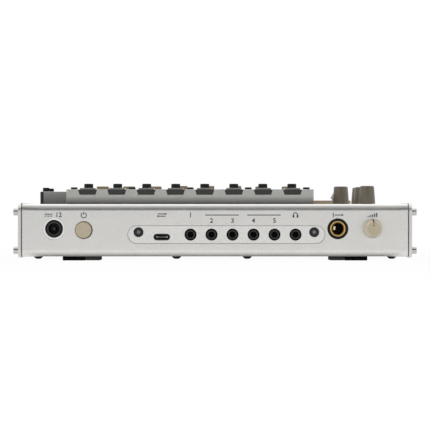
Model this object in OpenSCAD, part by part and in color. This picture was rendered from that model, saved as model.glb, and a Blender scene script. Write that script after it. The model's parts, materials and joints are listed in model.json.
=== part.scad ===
// Desktop synthesizer that strikes eight clamped steel tongues with magnets.
// Millimetres, +Z up. The player sits at -Y, the connectors are on the +Y face.
// The origin is on the table under the middle of the whole instrument.

/* [Body] */
// Width of the wrap between its two end cheeks
body_w = 220.6; // [206:0.2:240]
// Depth of the wrap from its front face to its rear face
body_d = 214.6; // [196:0.2:240]
// Height of the wrap without its feet
body_h = 30; // [29:0.5:36]
// Thickness of the wrap's aluminium sheet
wall = 2; // [1.6:0.1:2.4]
// Outer radius of the wrap's four long edges
edge_r = 4; // [3.4:0.1:5]
// Depth of each flange under the wrap
flange_d = 40; // [38:1:60]
// Thickness of the inner base plate
base_t = 1.5; // [1:0.1:2.5]
// Width of the strip of flange that the base plate leaves free at front and rear
base_edge = 9; // [7:0.5:10]
// Thickness of an end cheek
cheek_t = 1.8; // [1.4:0.1:3]
// How far a cheek stands proud of the wrap all round
cheek_lip = 0.7; // [0.3:0.1:1.2]
// Width of the dark seam between a cheek and the wrap
seam = 0.5; // [0.3:0.1:1]
// How far the seam's floor lies under the wrap's surface
seam_depth = 0.8; // [0.5:0.1:1.2]
// Radius of the tapped corner posts that take the cheek screws
post_r = 3; // [2.6:0.1:3.2]
// Distance of a corner post's axis from the wrap's faces
post_in = 4; // [3.8:0.1:4.6]
// How much lower than that the posts sit
post_drop = 0.5; // [0:0.1:0.6]
// Length of a corner post
post_l = 14; // [12:1:20]

/* [Feet] */
// Height of the feet under the wrap
foot_h = 2.5; // [2.2:0.1:5]
// Width of a whole foot
foot_w = 21.6; // [20:0.2:26]
// Width of the rubber pad on the outer side of a foot
pad_w = 13.1; // [11:0.1:15]
// Depth of a foot from front to rear
foot_l = 22; // [16:1:24]
// Distance of a foot's middle from the instrument's middle
foot_x = 77.1; // [70:0.1:80]
// Distance of a foot from the front or rear face
foot_in = 12; // [10:0.5:14]
// Thickness of the tongue of a shoe that lies over its pad
shoe_tongue_t = 1; // [0.8:0.1:1.2]
// Width of pad left round the tongue
tongue_rim = 2; // [1.5:0.1:3]
// How far a shoe clears the table
shoe_lift = 0.1; // [0.1:0.1:0.4]

/* [Screws] */
// Thread diameter of the cheek screws
end_screw_d = 2.5; // [2:0.1:2.8]
// Length of a cheek screw under its head
end_screw_l = 10; // [8:0.5:12]
// Head diameter of the cheek screws
end_head_d = 4.2; // [4:0.1:4.8]
// Head height of the cheek screws
end_head_h = 2.9; // [2:0.1:3.5]
// Thread diameter of the base screws
base_screw_d = 3; // [2.5:0.1:3.4]
// How far a base screw comes out above the base plate
base_screw_tip = 1.5; // [1:0.1:3]
// Head diameter of the base screws
base_head_d = 5.8; // [5:0.1:6.4]
// Head height of the base screws
base_head_h = 1.9; // [1.4:0.1:2]
// Distance of the base screws from the front or rear face
base_screw_in = 13.5; // [12:0.5:16]
// Distance of the outer base screws from the wrap's ends
base_screw_end = 8.3; // [6.5:0.1:12]
// Distance of the inner base screws from the middle
base_screw_inner = 20.4; // [14:0.2:40]
// Sideways shift of the inner base screws
base_screw_shift = 1.8; // [-4:0.1:4]
// Thread diameter of the black cap screws and flat screws on top
top_screw_d = 3; // [2.5:0.1:3.1]
// Head diameter of the clamp screws
clamp_head_d = 5.3; // [5:0.1:6]
// Head height of the clamp screws
clamp_head_h = 2.6; // [2.2:0.1:3.4]
// Length of a clamp screw under its head
clamp_screw_l = 8; // [6:0.2:8.6]
// Head diameter of the flat bridge screws
flat_head_d = 3.9; // [3.6:0.1:5]
// Head height of the flat bridge screws
flat_head_h = 1.3; // [0.8:0.1:1.6]
// Head diameter of the deck screws
deck_head_d = 4; // [3.8:0.1:4.6]
// Head height of the deck screws
deck_head_h = 2.4; // [2:0.1:3]
// Thread diameter of the deck screws
deck_screw_d = 2.5; // [2:0.1:2.6]
// How far bridge and deck screws come out under the top wall
top_screw_tip = 1.5; // [1:0.1:2]
// Width across flats of the hexagon sockets
hex_af = 2; // [1.5:0.1:2.2]
// Depth of the hexagon sockets
hex_depth = 1.3; // [0.8:0.1:1.6]

/* [Boards] */
// Thickness of the circuit boards
board_t = 1.6; // [1.2:0.1:2]
// Gap between a board's side edges and the cheeks
board_side = 6; // [5:0.5:8]
// Height of the jack board over the base plate
jack_board_h = 4.4; // [3.5:0.1:6]
// Distance of the jack board's rear edge from the rear face
jack_board_rear = 6.5; // [6:0.5:8]
// Depth of the jack board
jack_board_d = 27; // [25:0.5:28]
// Distance of the main board's rear edge from the rear face
main_board_rear = 36; // [35:0.5:40]
// Distance of the main board's front edge from the front face
main_board_front = 8; // [8:0.5:10]
// Radius of the standoffs under the boards
standoff_r = 2.6; // [2.2:0.1:3.2]
// Diameter of the standoffs' tips that hold the boards
standoff_tip_d = 2.4; // [2:0.1:3]
// Distance of the standoffs from the wrap's ends
standoff_in = 11; // [10:0.5:13]

/* [Rear connectors] */
// Length of the connector plate beyond its screws at either end
plate_end = 6; // [5:0.1:7]
// Height of the connector plate, which has round ends
plate_h = 9.9; // [8.8:0.1:10.6]
// Height of the plate's middle over the jack board
plate_up = 3; // [2.2:0.05:3.2]
// How far the connector plate stands out of the rear wall
plate_proud = 0.4; // [0.2:0.1:0.8]
// Thickness of the plate's rim behind the wall
plate_rim_t = 1.2; // [1:0.1:1.6]
// Width of the plate's rim behind the wall
plate_rim_w = 1; // [0.8:0.1:1.2]
// Distance from the last small socket to the plate's screw beside it
socket_to_screw = 10.7; // [9:0.1:12]
// Distance from the data socket to the plate's screw beside it
usb_to_screw = 13.3; // [10:0.1:15]
// Head diameter of the plate's screws
plate_head_d = 5.4; // [5:0.1:5.8]
// Head height of the plate's screws
plate_head_h = 1.6; // [1.2:0.1:2]
// How far the heads lie under the plate's face
plate_head_sunk = 0.3; // [0.1:0.1:0.6]
// Thread diameter of the plate's screws
plate_screw_d = 2.5; // [2:0.1:3]
// Length of a plate screw under its head
plate_screw_l = 7; // [5:0.5:9]
// Side of the square nut blocks behind the plate
nut_block = 8.8; // [8:0.1:9]
// Spacing of the six small sockets
jack_pitch = 12; // [11:0.1:12.4]
// Sideways place of the middle of the six sockets
jack_x = -16; // [-17:0.1:-15]
// Bore of a small socket
jack_bore = 3.6; // [3.5:0.05:4]
// Outer diameter of a small socket's nose
jack_nose_d = 5.6; // [5:0.1:6.4]
// Clearance hole for a nose in the connector plate
jack_hole_d = 6.9; // [6.6:0.1:7.4]
// How far the noses lie under the plate's face
jack_sunk = 0.8; // [0.3:0.1:1.2]
// Height of a small socket's body
jack_body_h = 6; // [5.8:0.1:6.6]
// Width of a small socket's body
jack_body_w = 7.2; // [6.6:0.1:8]
// Depth of a small socket's body
jack_body_l = 12; // [11:0.5:14]
// Depth of a small socket's bore
jack_depth = 13.5; // [12:0.5:14]
// Distance from the first small socket to the flat data socket
socket_to_usb = 16.4; // [11:0.1:18]
// Outer width of the data socket's shell
usb_w = 8.9; // [8.4:0.1:9.4]
// Outer height of the data socket's shell
usb_h = 3.2; // [3:0.1:3.5]
// Wall of the data socket's shell
usb_wall = 0.3; // [0.2:0.05:0.4]
// Length of the data socket's shell
usb_l = 7.4; // [7:0.1:9]
// Width of the tongue in the data socket
usb_tongue_w = 6.7; // [6:0.1:7]
// Thickness of the tongue in the data socket
usb_tongue_t = 0.7; // [0.5:0.1:0.9]
// Length of the tongue in the data socket
usb_tongue_l = 4.6; // [4:0.1:5]
// Distance of the power inlet's axis from the wrap's end
dc_end = 18.3; // [15:0.1:20]
// Height of the power inlet's axis over the jack board
dc_up = 6.35; // [6:0.05:7]
// Diameter of the power inlet's nose
dc_d = 9.7; // [9:0.1:10.4]
// Diameter of the power inlet's opening
dc_bore = 6.4; // [6:0.1:6.8]
// Depth of the power inlet's opening
dc_depth = 9.5; // [8.5:0.5:11]
// Diameter of the power inlet's centre pin
dc_pin_d = 2; // [1.6:0.1:2.5]
// Length of the power inlet's centre pin
dc_pin_l = 8.5; // [7:0.5:9]
// Depth of the power inlet's body
dc_body_l = 12; // [12:0.5:15]
// Diameter of the shallow recess round the power inlet
dc_recess_d = 12.4; // [12:0.1:14]
// Depth of that recess
dc_recess_h = 0.3; // [0.2:0.1:0.6]
// Distance of the output socket's axis from the connector plate
output_gap = 7.5; // [7.4:0.1:10]
// Height of the output socket's axis over the jack board
output_up = 6.35; // [6.1:0.05:6.6]
// Diameter of the output socket's nose
output_d = 11.5; // [11:0.1:12]
// Outer diameter of the gold bushing
bushing_d = 8.9; // [8.4:0.1:9.4]
// Bore of the gold bushing
output_bore = 6.6; // [6.5:0.05:7]
// Length of the gold bushing
bushing_l = 3.5; // [3:0.1:5]
// How far the bushing stands out of the nose
bushing_proud = 0.4; // [0.2:0.1:1]
// Depth of the output socket's bore
output_depth = 20; // [18:0.5:21]
// Width of the output socket's body
output_body_w = 12.4; // [11.6:0.1:12.6]
// Depth of the output socket's body
output_body_l = 22; // [22:0.5:24]

/* [Rear controls] */
// Distance from the power inlet to the power button
power_gap = 17; // [14:0.2:20]
// Height of the power button's axis over the jack board
power_up = 5.6; // [5.4:0.05:6.2]
// Diameter of the power button
power_d = 9.6; // [9:0.1:10.4]
// How far the power button stands out
power_proud = 1.8; // [1.7:0.1:3]
// Travel of the power button
power_travel = 1.5; // [1:0.1:1.6]
// Thickness of the power button's inner collar
power_collar_t = 1; // [0.8:0.1:1.2]
// Width of the power button's inner collar
power_collar_w = 0.9; // [0.7:0.1:1]
// Side of the power switch behind the button
power_switch_w = 8; // [7:0.5:9]
// Distance from the output socket to the volume knob
volume_gap = 19.8; // [14:0.2:21]
// Height of the volume knob's axis over the jack board
volume_up = 6.45; // [6:0.05:6.8]
// Diameter of the volume knob at its foot
volume_d = 11; // [10:0.1:12]
// Diameter of the volume knob at its tip
volume_top_d = 8.3; // [7:0.1:9.4]

/* [Resonators] */
// Spacing of the eight voices
voice_pitch = 17; // [16:0.1:17.8]
// Sideways place of the middle of the eight voices
voice_x = 14.5; // [12:0.1:17]
// Bridge beyond the outer voices
bridge_end = 12.3; // [11:0.1:14]
// Depth of the bridge
bridge_d = 26; // [24:0.5:28]
// Height of the bridge over the top wall
bridge_h = 8.7; // [8.5:0.1:10]
// Distance of the bridge from the rear face
bridge_back = 20; // [18:0.5:24]
// Distance of the clamp screws from the bridge's rear face
clamp_back = 12; // [10:0.5:14]
// Width of a channel at the bridge's top
channel_top = 10.9; // [10:0.1:11.2]
// Width of a channel at its floor
channel_floor = 9.2; // [8:0.1:9.4]
// Depth of a channel
channel_depth = 3.05; // [2.8:0.05:3.4]
// Height of a saddle in its channel
seat_h = 2.9; // [2.2:0.1:3]
// Thickness of the steel tongues
tongue_t = 0.9; // [0.8:0.1:1.2]
// Width of a tongue where it is clamped
tongue_root_w = 9; // [8:0.1:9.2]
// Width of a tongue where it swings
tongue_w = 6.4; // [5:0.1:7]
// Free length of the longest tongue
tongue_l = 62; // [50:0.5:68]

/* [Deck] */
// Height of the deck over the top wall
deck_h = 7.7; // [7.4:0.1:8.4]
// Thickness of the deck's top and sides
deck_t = 2.2; // [1.8:0.1:2.6]
// Gap between the deck and the control plate
deck_gap = 7.3; // [2:0.1:10]
// Radius of the deck's upright corners
deck_r = 2.5; // [2:0.1:4]
// Deck beyond the first voice, at the player's left
deck_left = 13; // [12.5:0.1:13.5]
// Distance of the deck's right side from the wrap's end
deck_end = 6.6; // [5:0.1:10]
// Free space beside the outer tongues in the well
well_side = 6.4; // [6:0.1:6.6]
// Free space in front of the longest tongue in the well
well_end = 9.3; // [5:0.1:12]
// Height of the well's underside over the top wall
well_lift = 0.6; // [0.4:0.1:1]
// Thickness of the well's floor
well_floor_t = 1.6; // [1.2:0.1:2]
// Height of the sill at the well's open rear side
sill_h = 4.6; // [4:0.1:5.4]
// Distance of the first deck screw from the deck's rear edge
deck_screw_back = 12; // [8:0.5:14]
// Distance between the two deck screws
deck_screw_pitch = 36; // [14:0.5:60]
// Distance of the deck screws from the deck's right edge
deck_screw_in = 2.8; // [2.7:0.1:4]
// Radius of the columns round the deck screws
deck_column_r = 2.6; // [2.2:0.1:2.8]
// Overlap of the deck's edge on the top wall round its opening
deck_seat = 5.6; // [5.4:0.1:6]
// Width of a magnet housing
driver_w = 12.5; // [11:0.5:14]
// Depth of a magnet housing
driver_l = 18; // [14:0.5:20]
// Height of a magnet housing
driver_h = 3.4; // [2.8:0.1:3.6]
// Distance of the magnets from the well's open rear side
driver_back = 14; // [12:0.5:18]
// Diameter of the two pole pieces on a magnet
pole_d = 4; // [3:0.1:5]
// Height of the pole pieces
pole_h = 0.8; // [0.5:0.1:1]

/* [Sliders] */
// Width of a slider cap
slider_w = 7.5; // [6.5:0.1:9]
// Length of a slider cap
slider_l = 11; // [9:0.5:13]
// Height of a slider cap over the deck
slider_h = 4.6; // [3.6:0.1:5.4]
// Radius of the finger hollow on a slider cap
slider_hollow_r = 9; // [7:0.5:14]
// Depth of the finger hollow
slider_hollow = 0.9; // [0.4:0.1:1.2]
// Distance of the lowest slider position from the deck's front edge
slider_front = 14; // [13:0.5:20]
// Distance of the highest slider position from the well
slider_back = 16; // [12:0.5:20]
// Sideways offset of the sliders from their voices
slider_shift = -1.8; // [-2.2:0.1:2]
// Setting of the sliders that stand low, from the low end
slider_low = 3; // [0:0.5:8]
// Setting of the three middle sliders, from the high end
slider_high = 5; // [0:0.5:8]
// Thickness of a slider's blade
blade_t = 1.4; // [1:0.1:1.8]
// Length of a slider's blade along its travel
blade_l = 5; // [4:0.5:6]
// Width of a slide control's body
slide_pot_w = 8; // [7:0.5:10]
// Height of a slide control's body
slide_pot_h = 6.5; // [5.5:0.1:7]
// Body of a slide control beyond its slot at either end
slide_pot_end = 4; // [3:0.5:5]
// How deep a blade reaches into a slide control
blade_reach = 3; // [2:0.1:3.5]

/* [Keys] */
// Width of the beige control plate
control_w = 178; // [170:1:186]
// Depth of the control plate
control_d = 22; // [19:0.5:24]
// Height of the control plate over the top wall
control_h = 3.5; // [2.5:0.1:4.5]
// Distance of the control plate from the front face
control_front = 8; // [7:0.5:9]
// Radius of the control plate's corners
control_r = 2; // [1:0.1:4]
// Width of a key
key_w = 13; // [11:0.5:13.5]
// Depth of a key
key_d = 12; // [9:0.5:14]
// Corner radius of a key
key_r = 1.5; // [0.8:0.1:2.5]
// Height of a key over the control plate
key_h = 1.4; // [1.3:0.1:2.4]
// Travel of a key
key_travel = 1; // [0.6:0.1:1.2]
// Thickness of a key's collar under the top wall
key_collar_t = 1; // [0.8:0.1:1.3]
// Width of a key's collar under the top wall
key_collar_w = 1; // [0.7:0.1:1.2]
// Side of the small switch under a key
key_switch_w = 6; // [5:0.5:7]

/* [Knobs] */
// Diameter of a knob at its foot
knob_d = 10.2; // [9:0.1:11]
// Diameter of a knob at its top
knob_top_d = 7.9; // [6.6:0.1:9]
// Height of a knob
knob_h = 10.7; // [9:0.1:13]
// Height of the straight foot of a knob
knob_foot_h = 1.2; // [0.6:0.1:2]
// Chamfer round a knob's top
knob_chamfer = 0.5; // [0.2:0.1:1]
// Gap between a knob and the wall
knob_gap = 0.4; // [0.3:0.1:0.8]
// Diameter of a knob's stem
stem_d = 6; // [5:0.1:6.4]
// Width of the pointer groove on a knob
pointer_w = 0.8; // [0.5:0.1:1.2]
// Depth of the pointer groove
pointer_depth = 0.4; // [0.2:0.1:0.6]
// Sideways place of the outer column of knobs
knob_x = -90.3; // [-91:0.1:-89]
// Distance from the outer column to the inner knob
knob_column = 14.2; // [13:0.1:16]
// Spacing of the rows of knobs
knob_row = 24; // [20:0.5:25]
// Distance of the rearmost knob from the rear face
knob_back = 50; // [48:0.5:54]
// Side of a turning control's body under a knob
pot_w = 9.6; // [9:0.1:11]
// Height of a turning control's body
pot_h = 6; // [5:0.1:7]
// Gap between the turning controls and the top wall
pot_gap = 0.5; // [0.4:0.1:1]
// Depth of the stem's bore in a turning control
pot_bore = 4.8; // [3.5:0.1:5.2]
// Chamfer round a knob's foot
knob_foot_chamfer = 0.4; // [0.2:0.1:0.6]

/* [Toggle] */
// Sideways place of the toggle
toggle_x = -70.9; // [-71.6:0.1:-70]
// Lean of the toggle's lever to either side, in degrees
toggle_lean = 24; // [10:1:26]
// Diameter of the lever's shaft
lever_d = 1.6; // [1.2:0.1:1.8]
// Diameter of the lever's grey cap
lever_cap_d = 4.2; // [3:0.1:5]
// Length of the lever's grey cap
lever_cap_l = 3.4; // [2:0.1:4]
// Length of the lever from its pivot to its tip
lever_l = 8.4; // [7:0.1:10]
// Diameter of the ball at the lever's foot
lever_ball_d = 3.6; // [3:0.1:3.8]
// Diameter of the cross pin that the lever tips on
lever_pin_d = 1.2; // [0.8:0.1:1.4]
// Depth of the pivot under the top wall's upper face
pivot_depth = 1.4; // [1.2:0.1:1.6]
// Outer diameter of the toggle's bushing
toggle_bushing_d = 6.4; // [6:0.1:7.4]
// Bore of the toggle's bushing
toggle_bore = 4.4; // [4.2:0.1:4.6]
// Height of the bushing over the top wall
toggle_rim_h = 0.3; // [0.2:0.1:0.6]
// Side of the toggle's body under the top wall
toggle_body_w = 9; // [8:0.2:9.6]
// Depth of the bushing's bore under the top wall
toggle_well = 3; // [2.4:0.1:5]

/* [Clearances] */
// Radial clearance of shafts, pins and threads in their holes
fit = 0.05; // [0.02:0.01:0.1]
// Clearance round caps and plates that pass through a wall
pass = 0.2; // [0.15:0.01:0.3]
// Clearance between a moving piece and a still one
play = 0.3; // [0.25:0.05:0.4]
// Gap at which a sprung button rests under its wall
rest_gap = 0.1; // [0.05:0.05:0.2]

/* [Hidden] */
$fn = 64;
eps = 0.5;
voices = 8;
jacks = 6;
flat_screws = 5;

// Whole depth runs from the cheeks' front lip to the tip of the volume knob.
knob_reach = knob_gap + knob_h;
y_front = (cheek_lip - body_d - knob_reach) / 2;
y_rear = y_front + body_d;

z_top = foot_h + body_h;
z_ceiling = z_top - wall;
z_flange = foot_h + wall;
z_base = z_flange + base_t;
z_jack = z_base + jack_board_h + board_t;
z_main = z_ceiling - pot_gap - pot_h;

board_w = body_w - 2 * board_side;
x_end = body_w / 2;
x_cheek = x_end + seam + cheek_t;
x_standoff = x_end - standoff_in;

// How far the standoffs next to the base screws are from the front or rear face
past_screws = base_screw_in + base_screw_d + 2 * standoff_r;

// The inside of the rear wall and the back of the connector plate's rim
y_wall = y_rear - wall;
y_rim = y_wall - plate_rim_t;

// Heights of the rear connectors' axes
z_plate = z_jack + plate_up;
z_socket = z_jack + jack_body_h / 2;
z_usb = z_jack + usb_h / 2;
z_dc = z_jack + dc_up;
z_output = z_jack + output_up;
z_power = z_jack + power_up;
z_volume = z_jack + volume_up;
z_plate_screw = z_jack + nut_block / 2;

// Sideways places of the rear connectors: the plate is as long as what it carries
dc_x = x_end - dc_end;
power_x = dc_x - power_gap;
usb_x = socket(1) + socket_to_usb;
plate_screw_x0 = socket(jacks) - socket_to_screw;
plate_screw_x1 = usb_x + usb_to_screw;
plate_x = (plate_screw_x0 + plate_screw_x1) / 2;
plate_w = plate_screw_x1 - plate_screw_x0 + 2 * plate_end;
output_x = plate_x - plate_w / 2 - output_gap;
volume_x = output_x - volume_gap;

// The bridge and the tongues on it
y_bridge = y_rear - bridge_back;
y_bridge_front = y_bridge - bridge_d;
y_clamp = y_bridge - clamp_back;
z_channel = z_top + bridge_h - channel_depth;
z_tongue = z_channel + seat_h;
z_clamp = z_tongue + tongue_t;
flat_pitch = 2 * voice_pitch;
bridge_w = voice_pitch * (voices - 1) + 2 * bridge_end;

// The deck, its well and its sliders
deck_y1 = y_bridge_front - play;
deck_y0 = y_front + control_front + control_d + deck_gap;
deck_d = deck_y1 - deck_y0;
deck_x0 = voice(1) - deck_left;
deck_x1 = x_end - deck_end;
z_deck = z_top + deck_h;
well_x0 = voice(1) - well_side;
well_x1 = voice(voices) + well_side;
well_d = tongue_l + well_end - play;
well_y0 = deck_y1 - well_d;
z_well = z_top + well_lift + well_floor_t;
slot_y0 = deck_y0 + slider_front;
slider_travel = well_y0 - slider_back - slot_y0;
slot_w = blade_t + 2 * play;
slot_l = slider_travel + blade_l + 2 * play;
z_slide_pot = z_main + slide_pot_h;

// The keys and their plate
control_y = y_front + control_front + control_d / 2;
z_control = z_top + control_h;
z_key_collar = z_ceiling - rest_gap - key_collar_t;
key_switch_h = z_key_collar - key_travel - rest_gap - z_main;

// The toggle's tipping axis
z_pivot = z_top - pivot_depth;
toggle_y = y_rear - knob_back - 2 * knob_row;

// Semitones of each tongue over the longest one, for a major scale
steps = [0, 2, 4, 5, 7, 9, 11, 12];

// Sideways place of a voice, counted from the player's left
function voice(n) = voice_x + voice_pitch * (n - (voices + 1) / 2);

// Sideways place of a small socket, counted from the player's right
function socket(n) = jack_x + jack_pitch * ((jacks + 1) / 2 - n);

// Free length of a tongue: two octaves of pitch halve it
function free_length(n) = tongue_l * pow(2, -steps[n - 1] / 24);

// Setting of a slider over its low end: three in the middle are pushed up
function setting(n) = (n > 2 && n < 6) ? slider_travel - slider_high : slider_low;

// Place of a slider on the deck
function slider_x(n) = voice(n) + slider_shift;
function slider_y(n) = slot_y0 + setting(n);

// Places of the four top knobs: column and row of each
knob_places = [[1, 1], [0, 0], [0, 2], [0, 3]];
function knob_at(n) = [
    knob_x + knob_column * knob_places[n][0],
    y_rear - knob_back - knob_row * knob_places[n][1]
];

// Rectangle with round corners, from its lower left corner
module rounded(w, h, r) {
    translate([r, 0]) square([w - 2 * r, h]);
    translate([0, r]) square([w, h - 2 * r]);
    for (x = [r, w - r], y = [r, h - r]) {
        translate([x, y]) circle(r);
    }
}

// The same about its middle
module rounded_mid(w, h, r) {
    translate([-w / 2, -h / 2]) rounded(w, h, r);
}

// Pill outline about its middle
module pill(w, h) {
    square([w - h, h], center = true);
    for (s = [-1, 1]) {
        translate([s * (w - h) / 2, 0]) circle(h / 2);
    }
}

// A shape drawn on (Y, Z) and pulled along X about the middle
module along_x(l) {
    rotate([90, 0, 90]) linear_extrude(l, center = true) children();
}

// A shape drawn flat and stood on the rear face at (x, z), +Z pointing out of it
module at_rear(x, z) {
    translate([x, y_rear, z]) rotate([-90, 0, 0]) children();
}

// Round cut through the rear wall
module rear_hole(x, z, d) {
    at_rear(x, z) translate([0, 0, -wall - eps]) cylinder(d = d, h = wall + 2 * eps);
}

// Round cut through the top wall
module top_hole(x, y, d) {
    translate([x, y, z_ceiling - eps]) cylinder(d = d, h = wall + 2 * eps);
}

// Cross section of the wrap, grown or shrunk all round
module wrap_section(grow) {
    translate([y_front - grow, foot_h - grow]) {
        rounded(body_d + 2 * grow, body_h + 2 * grow, edge_r + grow);
    }
}

// Places of the four corner posts on (Y, Z)
module at_posts() {
    for (y = [y_front + post_in, y_rear - post_in]) {
        for (z = [foot_h + post_in, z_top - post_in]) {
            translate([0, y, z - post_drop]) children();
        }
    }
}

// Places of the eight base screws under the flanges
module at_base_screws() {
    outer = x_end - base_screw_end;
    inner = [base_screw_shift - base_screw_inner, base_screw_shift + base_screw_inner];
    for (y = [y_front + base_screw_in, y_rear - base_screw_in]) {
        for (x = concat([-outer, outer], inner)) {
            translate([x, y, foot_h]) children();
        }
    }
}

// Places of the standoffs under a board that runs between two depths
module at_standoffs(y0, y1) {
    for (x = [-x_standoff, x_standoff], y = [y0, y1]) {
        translate([x, y, 0]) children();
    }
}

module at_jack_standoffs() {
    y0 = y_rear - jack_board_rear - jack_board_d + 2 * standoff_r;
    at_standoffs(y0, y_rear - past_screws) children();
}

module at_main_standoffs() {
    at_standoffs(y_front + past_screws, y_rear - main_board_rear - 2 * standoff_r) children();
}

// Cap screw: head above zero with a hexagon socket, shank below
module cap_screw(d, l, head_d, head_h) {
    difference() {
        union() {
            cylinder(d = head_d, h = head_h);
            translate([0, 0, -l]) cylinder(d = d, h = l);
        }
        translate([0, 0, head_h - hex_depth]) cylinder(d = hex_af / cos(30), h = head_h, $fn = 6);
    }
}

// Dome of a button head, as a slice of a ball
module dome(d, h) {
    ball = (d * d / 4 + h * h) / (2 * h);
    rotate_extrude() intersection() {
        translate([0, h - ball]) circle(ball);
        square([d / 2, h]);
    }
}

// One foot's own place: middle of the foot under the wrap, outer side toward +X
module at_feet() {
    y_foot = foot_in + foot_l / 2;
    for (side = [0, 1], y = [y_front + y_foot, y_rear - y_foot]) {
        mirror([side, 0, 0]) translate([foot_x, y, 0]) children();
    }
}

// Wrap of bent sheet with tapped corner posts at both ends
module chassis_shell() {
    color("#c8c7c4") difference() {
        union() {
            along_x(body_w) difference() {
                wrap_section(0);
                wrap_section(-wall);
                translate([y_front + flange_d, 0]) square([body_d - 2 * flange_d, z_flange + eps]);
            }
            for (s = [-1, 1]) {
                at_posts() translate([s * (x_end - post_l / 2), 0, 0]) {
                    rotate([0, 90, 0]) cylinder(r = post_r, h = post_l, center = true);
                }
            }
        }
        at_posts() rotate([0, 90, 0]) {
            cylinder(d = end_screw_d + 2 * fit, h = body_w + 2 * eps, center = true);
        }
        at_base_screws() translate([0, 0, -eps]) {
            cylinder(d = base_screw_d + 2 * fit, h = wall + 2 * eps);
        }
        rear_hole(dc_x, z_dc, dc_d + 2 * pass);
        at_rear(dc_x, z_dc) translate([0, 0, -dc_recess_h]) cylinder(d = dc_recess_d, h = dc_recess_h + eps);
        rear_hole(power_x, z_power, power_d + 2 * pass);
        rear_hole(output_x, z_output, output_d + 2 * pass);
        rear_hole(volume_x, z_volume, stem_d + 2 * play);
        at_rear(plate_x, z_plate) translate([0, 0, -wall - eps]) {
            linear_extrude(wall + 2 * eps) pill(plate_w + 2 * pass, plate_h + 2 * pass);
        }
        for (n = [0:len(knob_places) - 1]) {
            top_hole(knob_at(n)[0], knob_at(n)[1], stem_d + 2 * play);
        }
        top_hole(toggle_x, toggle_y, toggle_bushing_d + 2 * pass);
        at_flat_screws() translate([0, 0, -bridge_h - wall - eps]) {
            cylinder(d = top_screw_d + 2 * fit, h = wall + 2 * eps);
        }
        at_deck_screws() translate([0, 0, -deck_h - wall - eps]) {
            cylinder(d = deck_screw_d + 2 * fit, h = wall + 2 * eps);
        }
        translate([0, 0, z_ceiling - eps]) linear_extrude(wall + 2 * eps) deck_opening(0);
        for (n = [1:voices]) {
            key_cut(n, z_ceiling - eps, wall + 2 * eps);
        }
    }
}

// Opening in the top wall under the deck, shrunk by a clearance
module deck_opening(gap) {
    inset = deck_seat + gap;
    translate([deck_x0 + inset, deck_y0 + inset]) {
        rounded(deck_x1 - deck_x0 - 2 * inset, deck_d - 2 * inset, deck_r);
    }
}

// Hole for a key through whatever it passes
module key_cut(n, z, h) {
    translate([voice(n), control_y, z]) linear_extrude(h) {
        rounded_mid(key_w + 2 * pass, key_d + 2 * pass, key_r + pass);
    }
}

// Inner steel plate with the standoffs of both boards
module base_plate() {
    tip_h = board_t - fit;
    color("#9aa0a4") difference() {
        union() {
            translate([-x_end, y_front + base_edge, z_flange]) cube([body_w, body_d - 2 * base_edge, base_t]);
            at_jack_standoffs() standoff(z_jack - board_t, tip_h);
            at_main_standoffs() standoff(z_main - board_t, tip_h);
        }
        at_base_screws() cylinder(d = base_screw_d + 2 * fit, h = wall + base_t + eps);
    }
}

// Standoff up to a board's underside with a tip that goes through the board
module standoff(z, tip_h) {
    translate([0, 0, z_flange]) cylinder(r = standoff_r, h = z - z_flange);
    translate([0, 0, z_flange]) cylinder(d = standoff_tip_d, h = z + tip_h - z_flange);
}

// End plate with its locating step, drawn at the +X end
module cheek() {
    difference() {
        union() {
            translate([x_end + seam / 2, 0, 0]) along_x(seam) wrap_section(-seam_depth);
            translate([x_end + seam + cheek_t / 2, 0, 0]) along_x(cheek_t) wrap_section(cheek_lip);
        }
        at_posts() rotate([0, 90, 0]) cylinder(d = end_screw_d + 2 * fit, h = body_w);
    }
}

module right_cheek() {
    color("#bdbcb9") cheek();
}

module left_cheek() {
    color("#bdbcb9") mirror([1, 0, 0]) cheek();
}

// Eight polished cap screws through the cheeks into the corner posts
module cheek_screws() {
    color("#8f8f8f") for (side = [0, 1]) {
        mirror([side, 0, 0]) at_posts() translate([x_cheek, 0, 0]) {
            rotate([0, 90, 0]) cap_screw(end_screw_d, end_screw_l, end_head_d, end_head_h);
        }
    }
}

// Eight dome head screws from below through the flanges into the base plate
module base_screws() {
    shank = wall + base_t + base_screw_tip;
    color("#1e1e1d") at_base_screws() rotate([180, 0, 0]) difference() {
        union() {
            dome(base_head_d, base_head_h);
            translate([0, 0, -shank]) cylinder(d = base_screw_d, h = shank);
        }
        translate([0, 0, base_head_h - hex_depth]) cylinder(d = hex_af / cos(30), h = base_head_h, $fn = 6);
    }
}

// Dark grey shoes: a block on the inner side with a tongue over the pad
module foot_shoes() {
    shoe_w = foot_w - pad_w;
    color("#2f2f2d") at_feet() {
        translate([-foot_w / 2, -foot_l / 2, shoe_lift]) cube([shoe_w, foot_l, foot_h - shoe_lift]);
        translate([shoe_w - foot_w / 2 - eps, tongue_rim - foot_l / 2, foot_h - shoe_tongue_t]) {
            cube([pad_w - tongue_rim + eps, foot_l - 2 * tongue_rim, shoe_tongue_t]);
        }
    }
}

// Black rubber pads round the shoes' tongues
module foot_pads() {
    color("#161616") at_feet() difference() {
        translate([foot_w / 2 - pad_w, -foot_l / 2, 0]) cube([pad_w, foot_l, foot_h]);
        translate([foot_w / 2 - pad_w - eps, tongue_rim - foot_l / 2, foot_h - shoe_tongue_t]) {
            cube([pad_w - tongue_rim + eps, foot_l - 2 * tongue_rim, shoe_tongue_t + eps]);
        }
    }
}

// Places of the connector plate's two screws, on the plate's face
module at_plate_screws() {
    for (x = [plate_screw_x0, plate_screw_x1]) {
        at_rear(x, z_plate_screw) children();
    }
}

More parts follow.
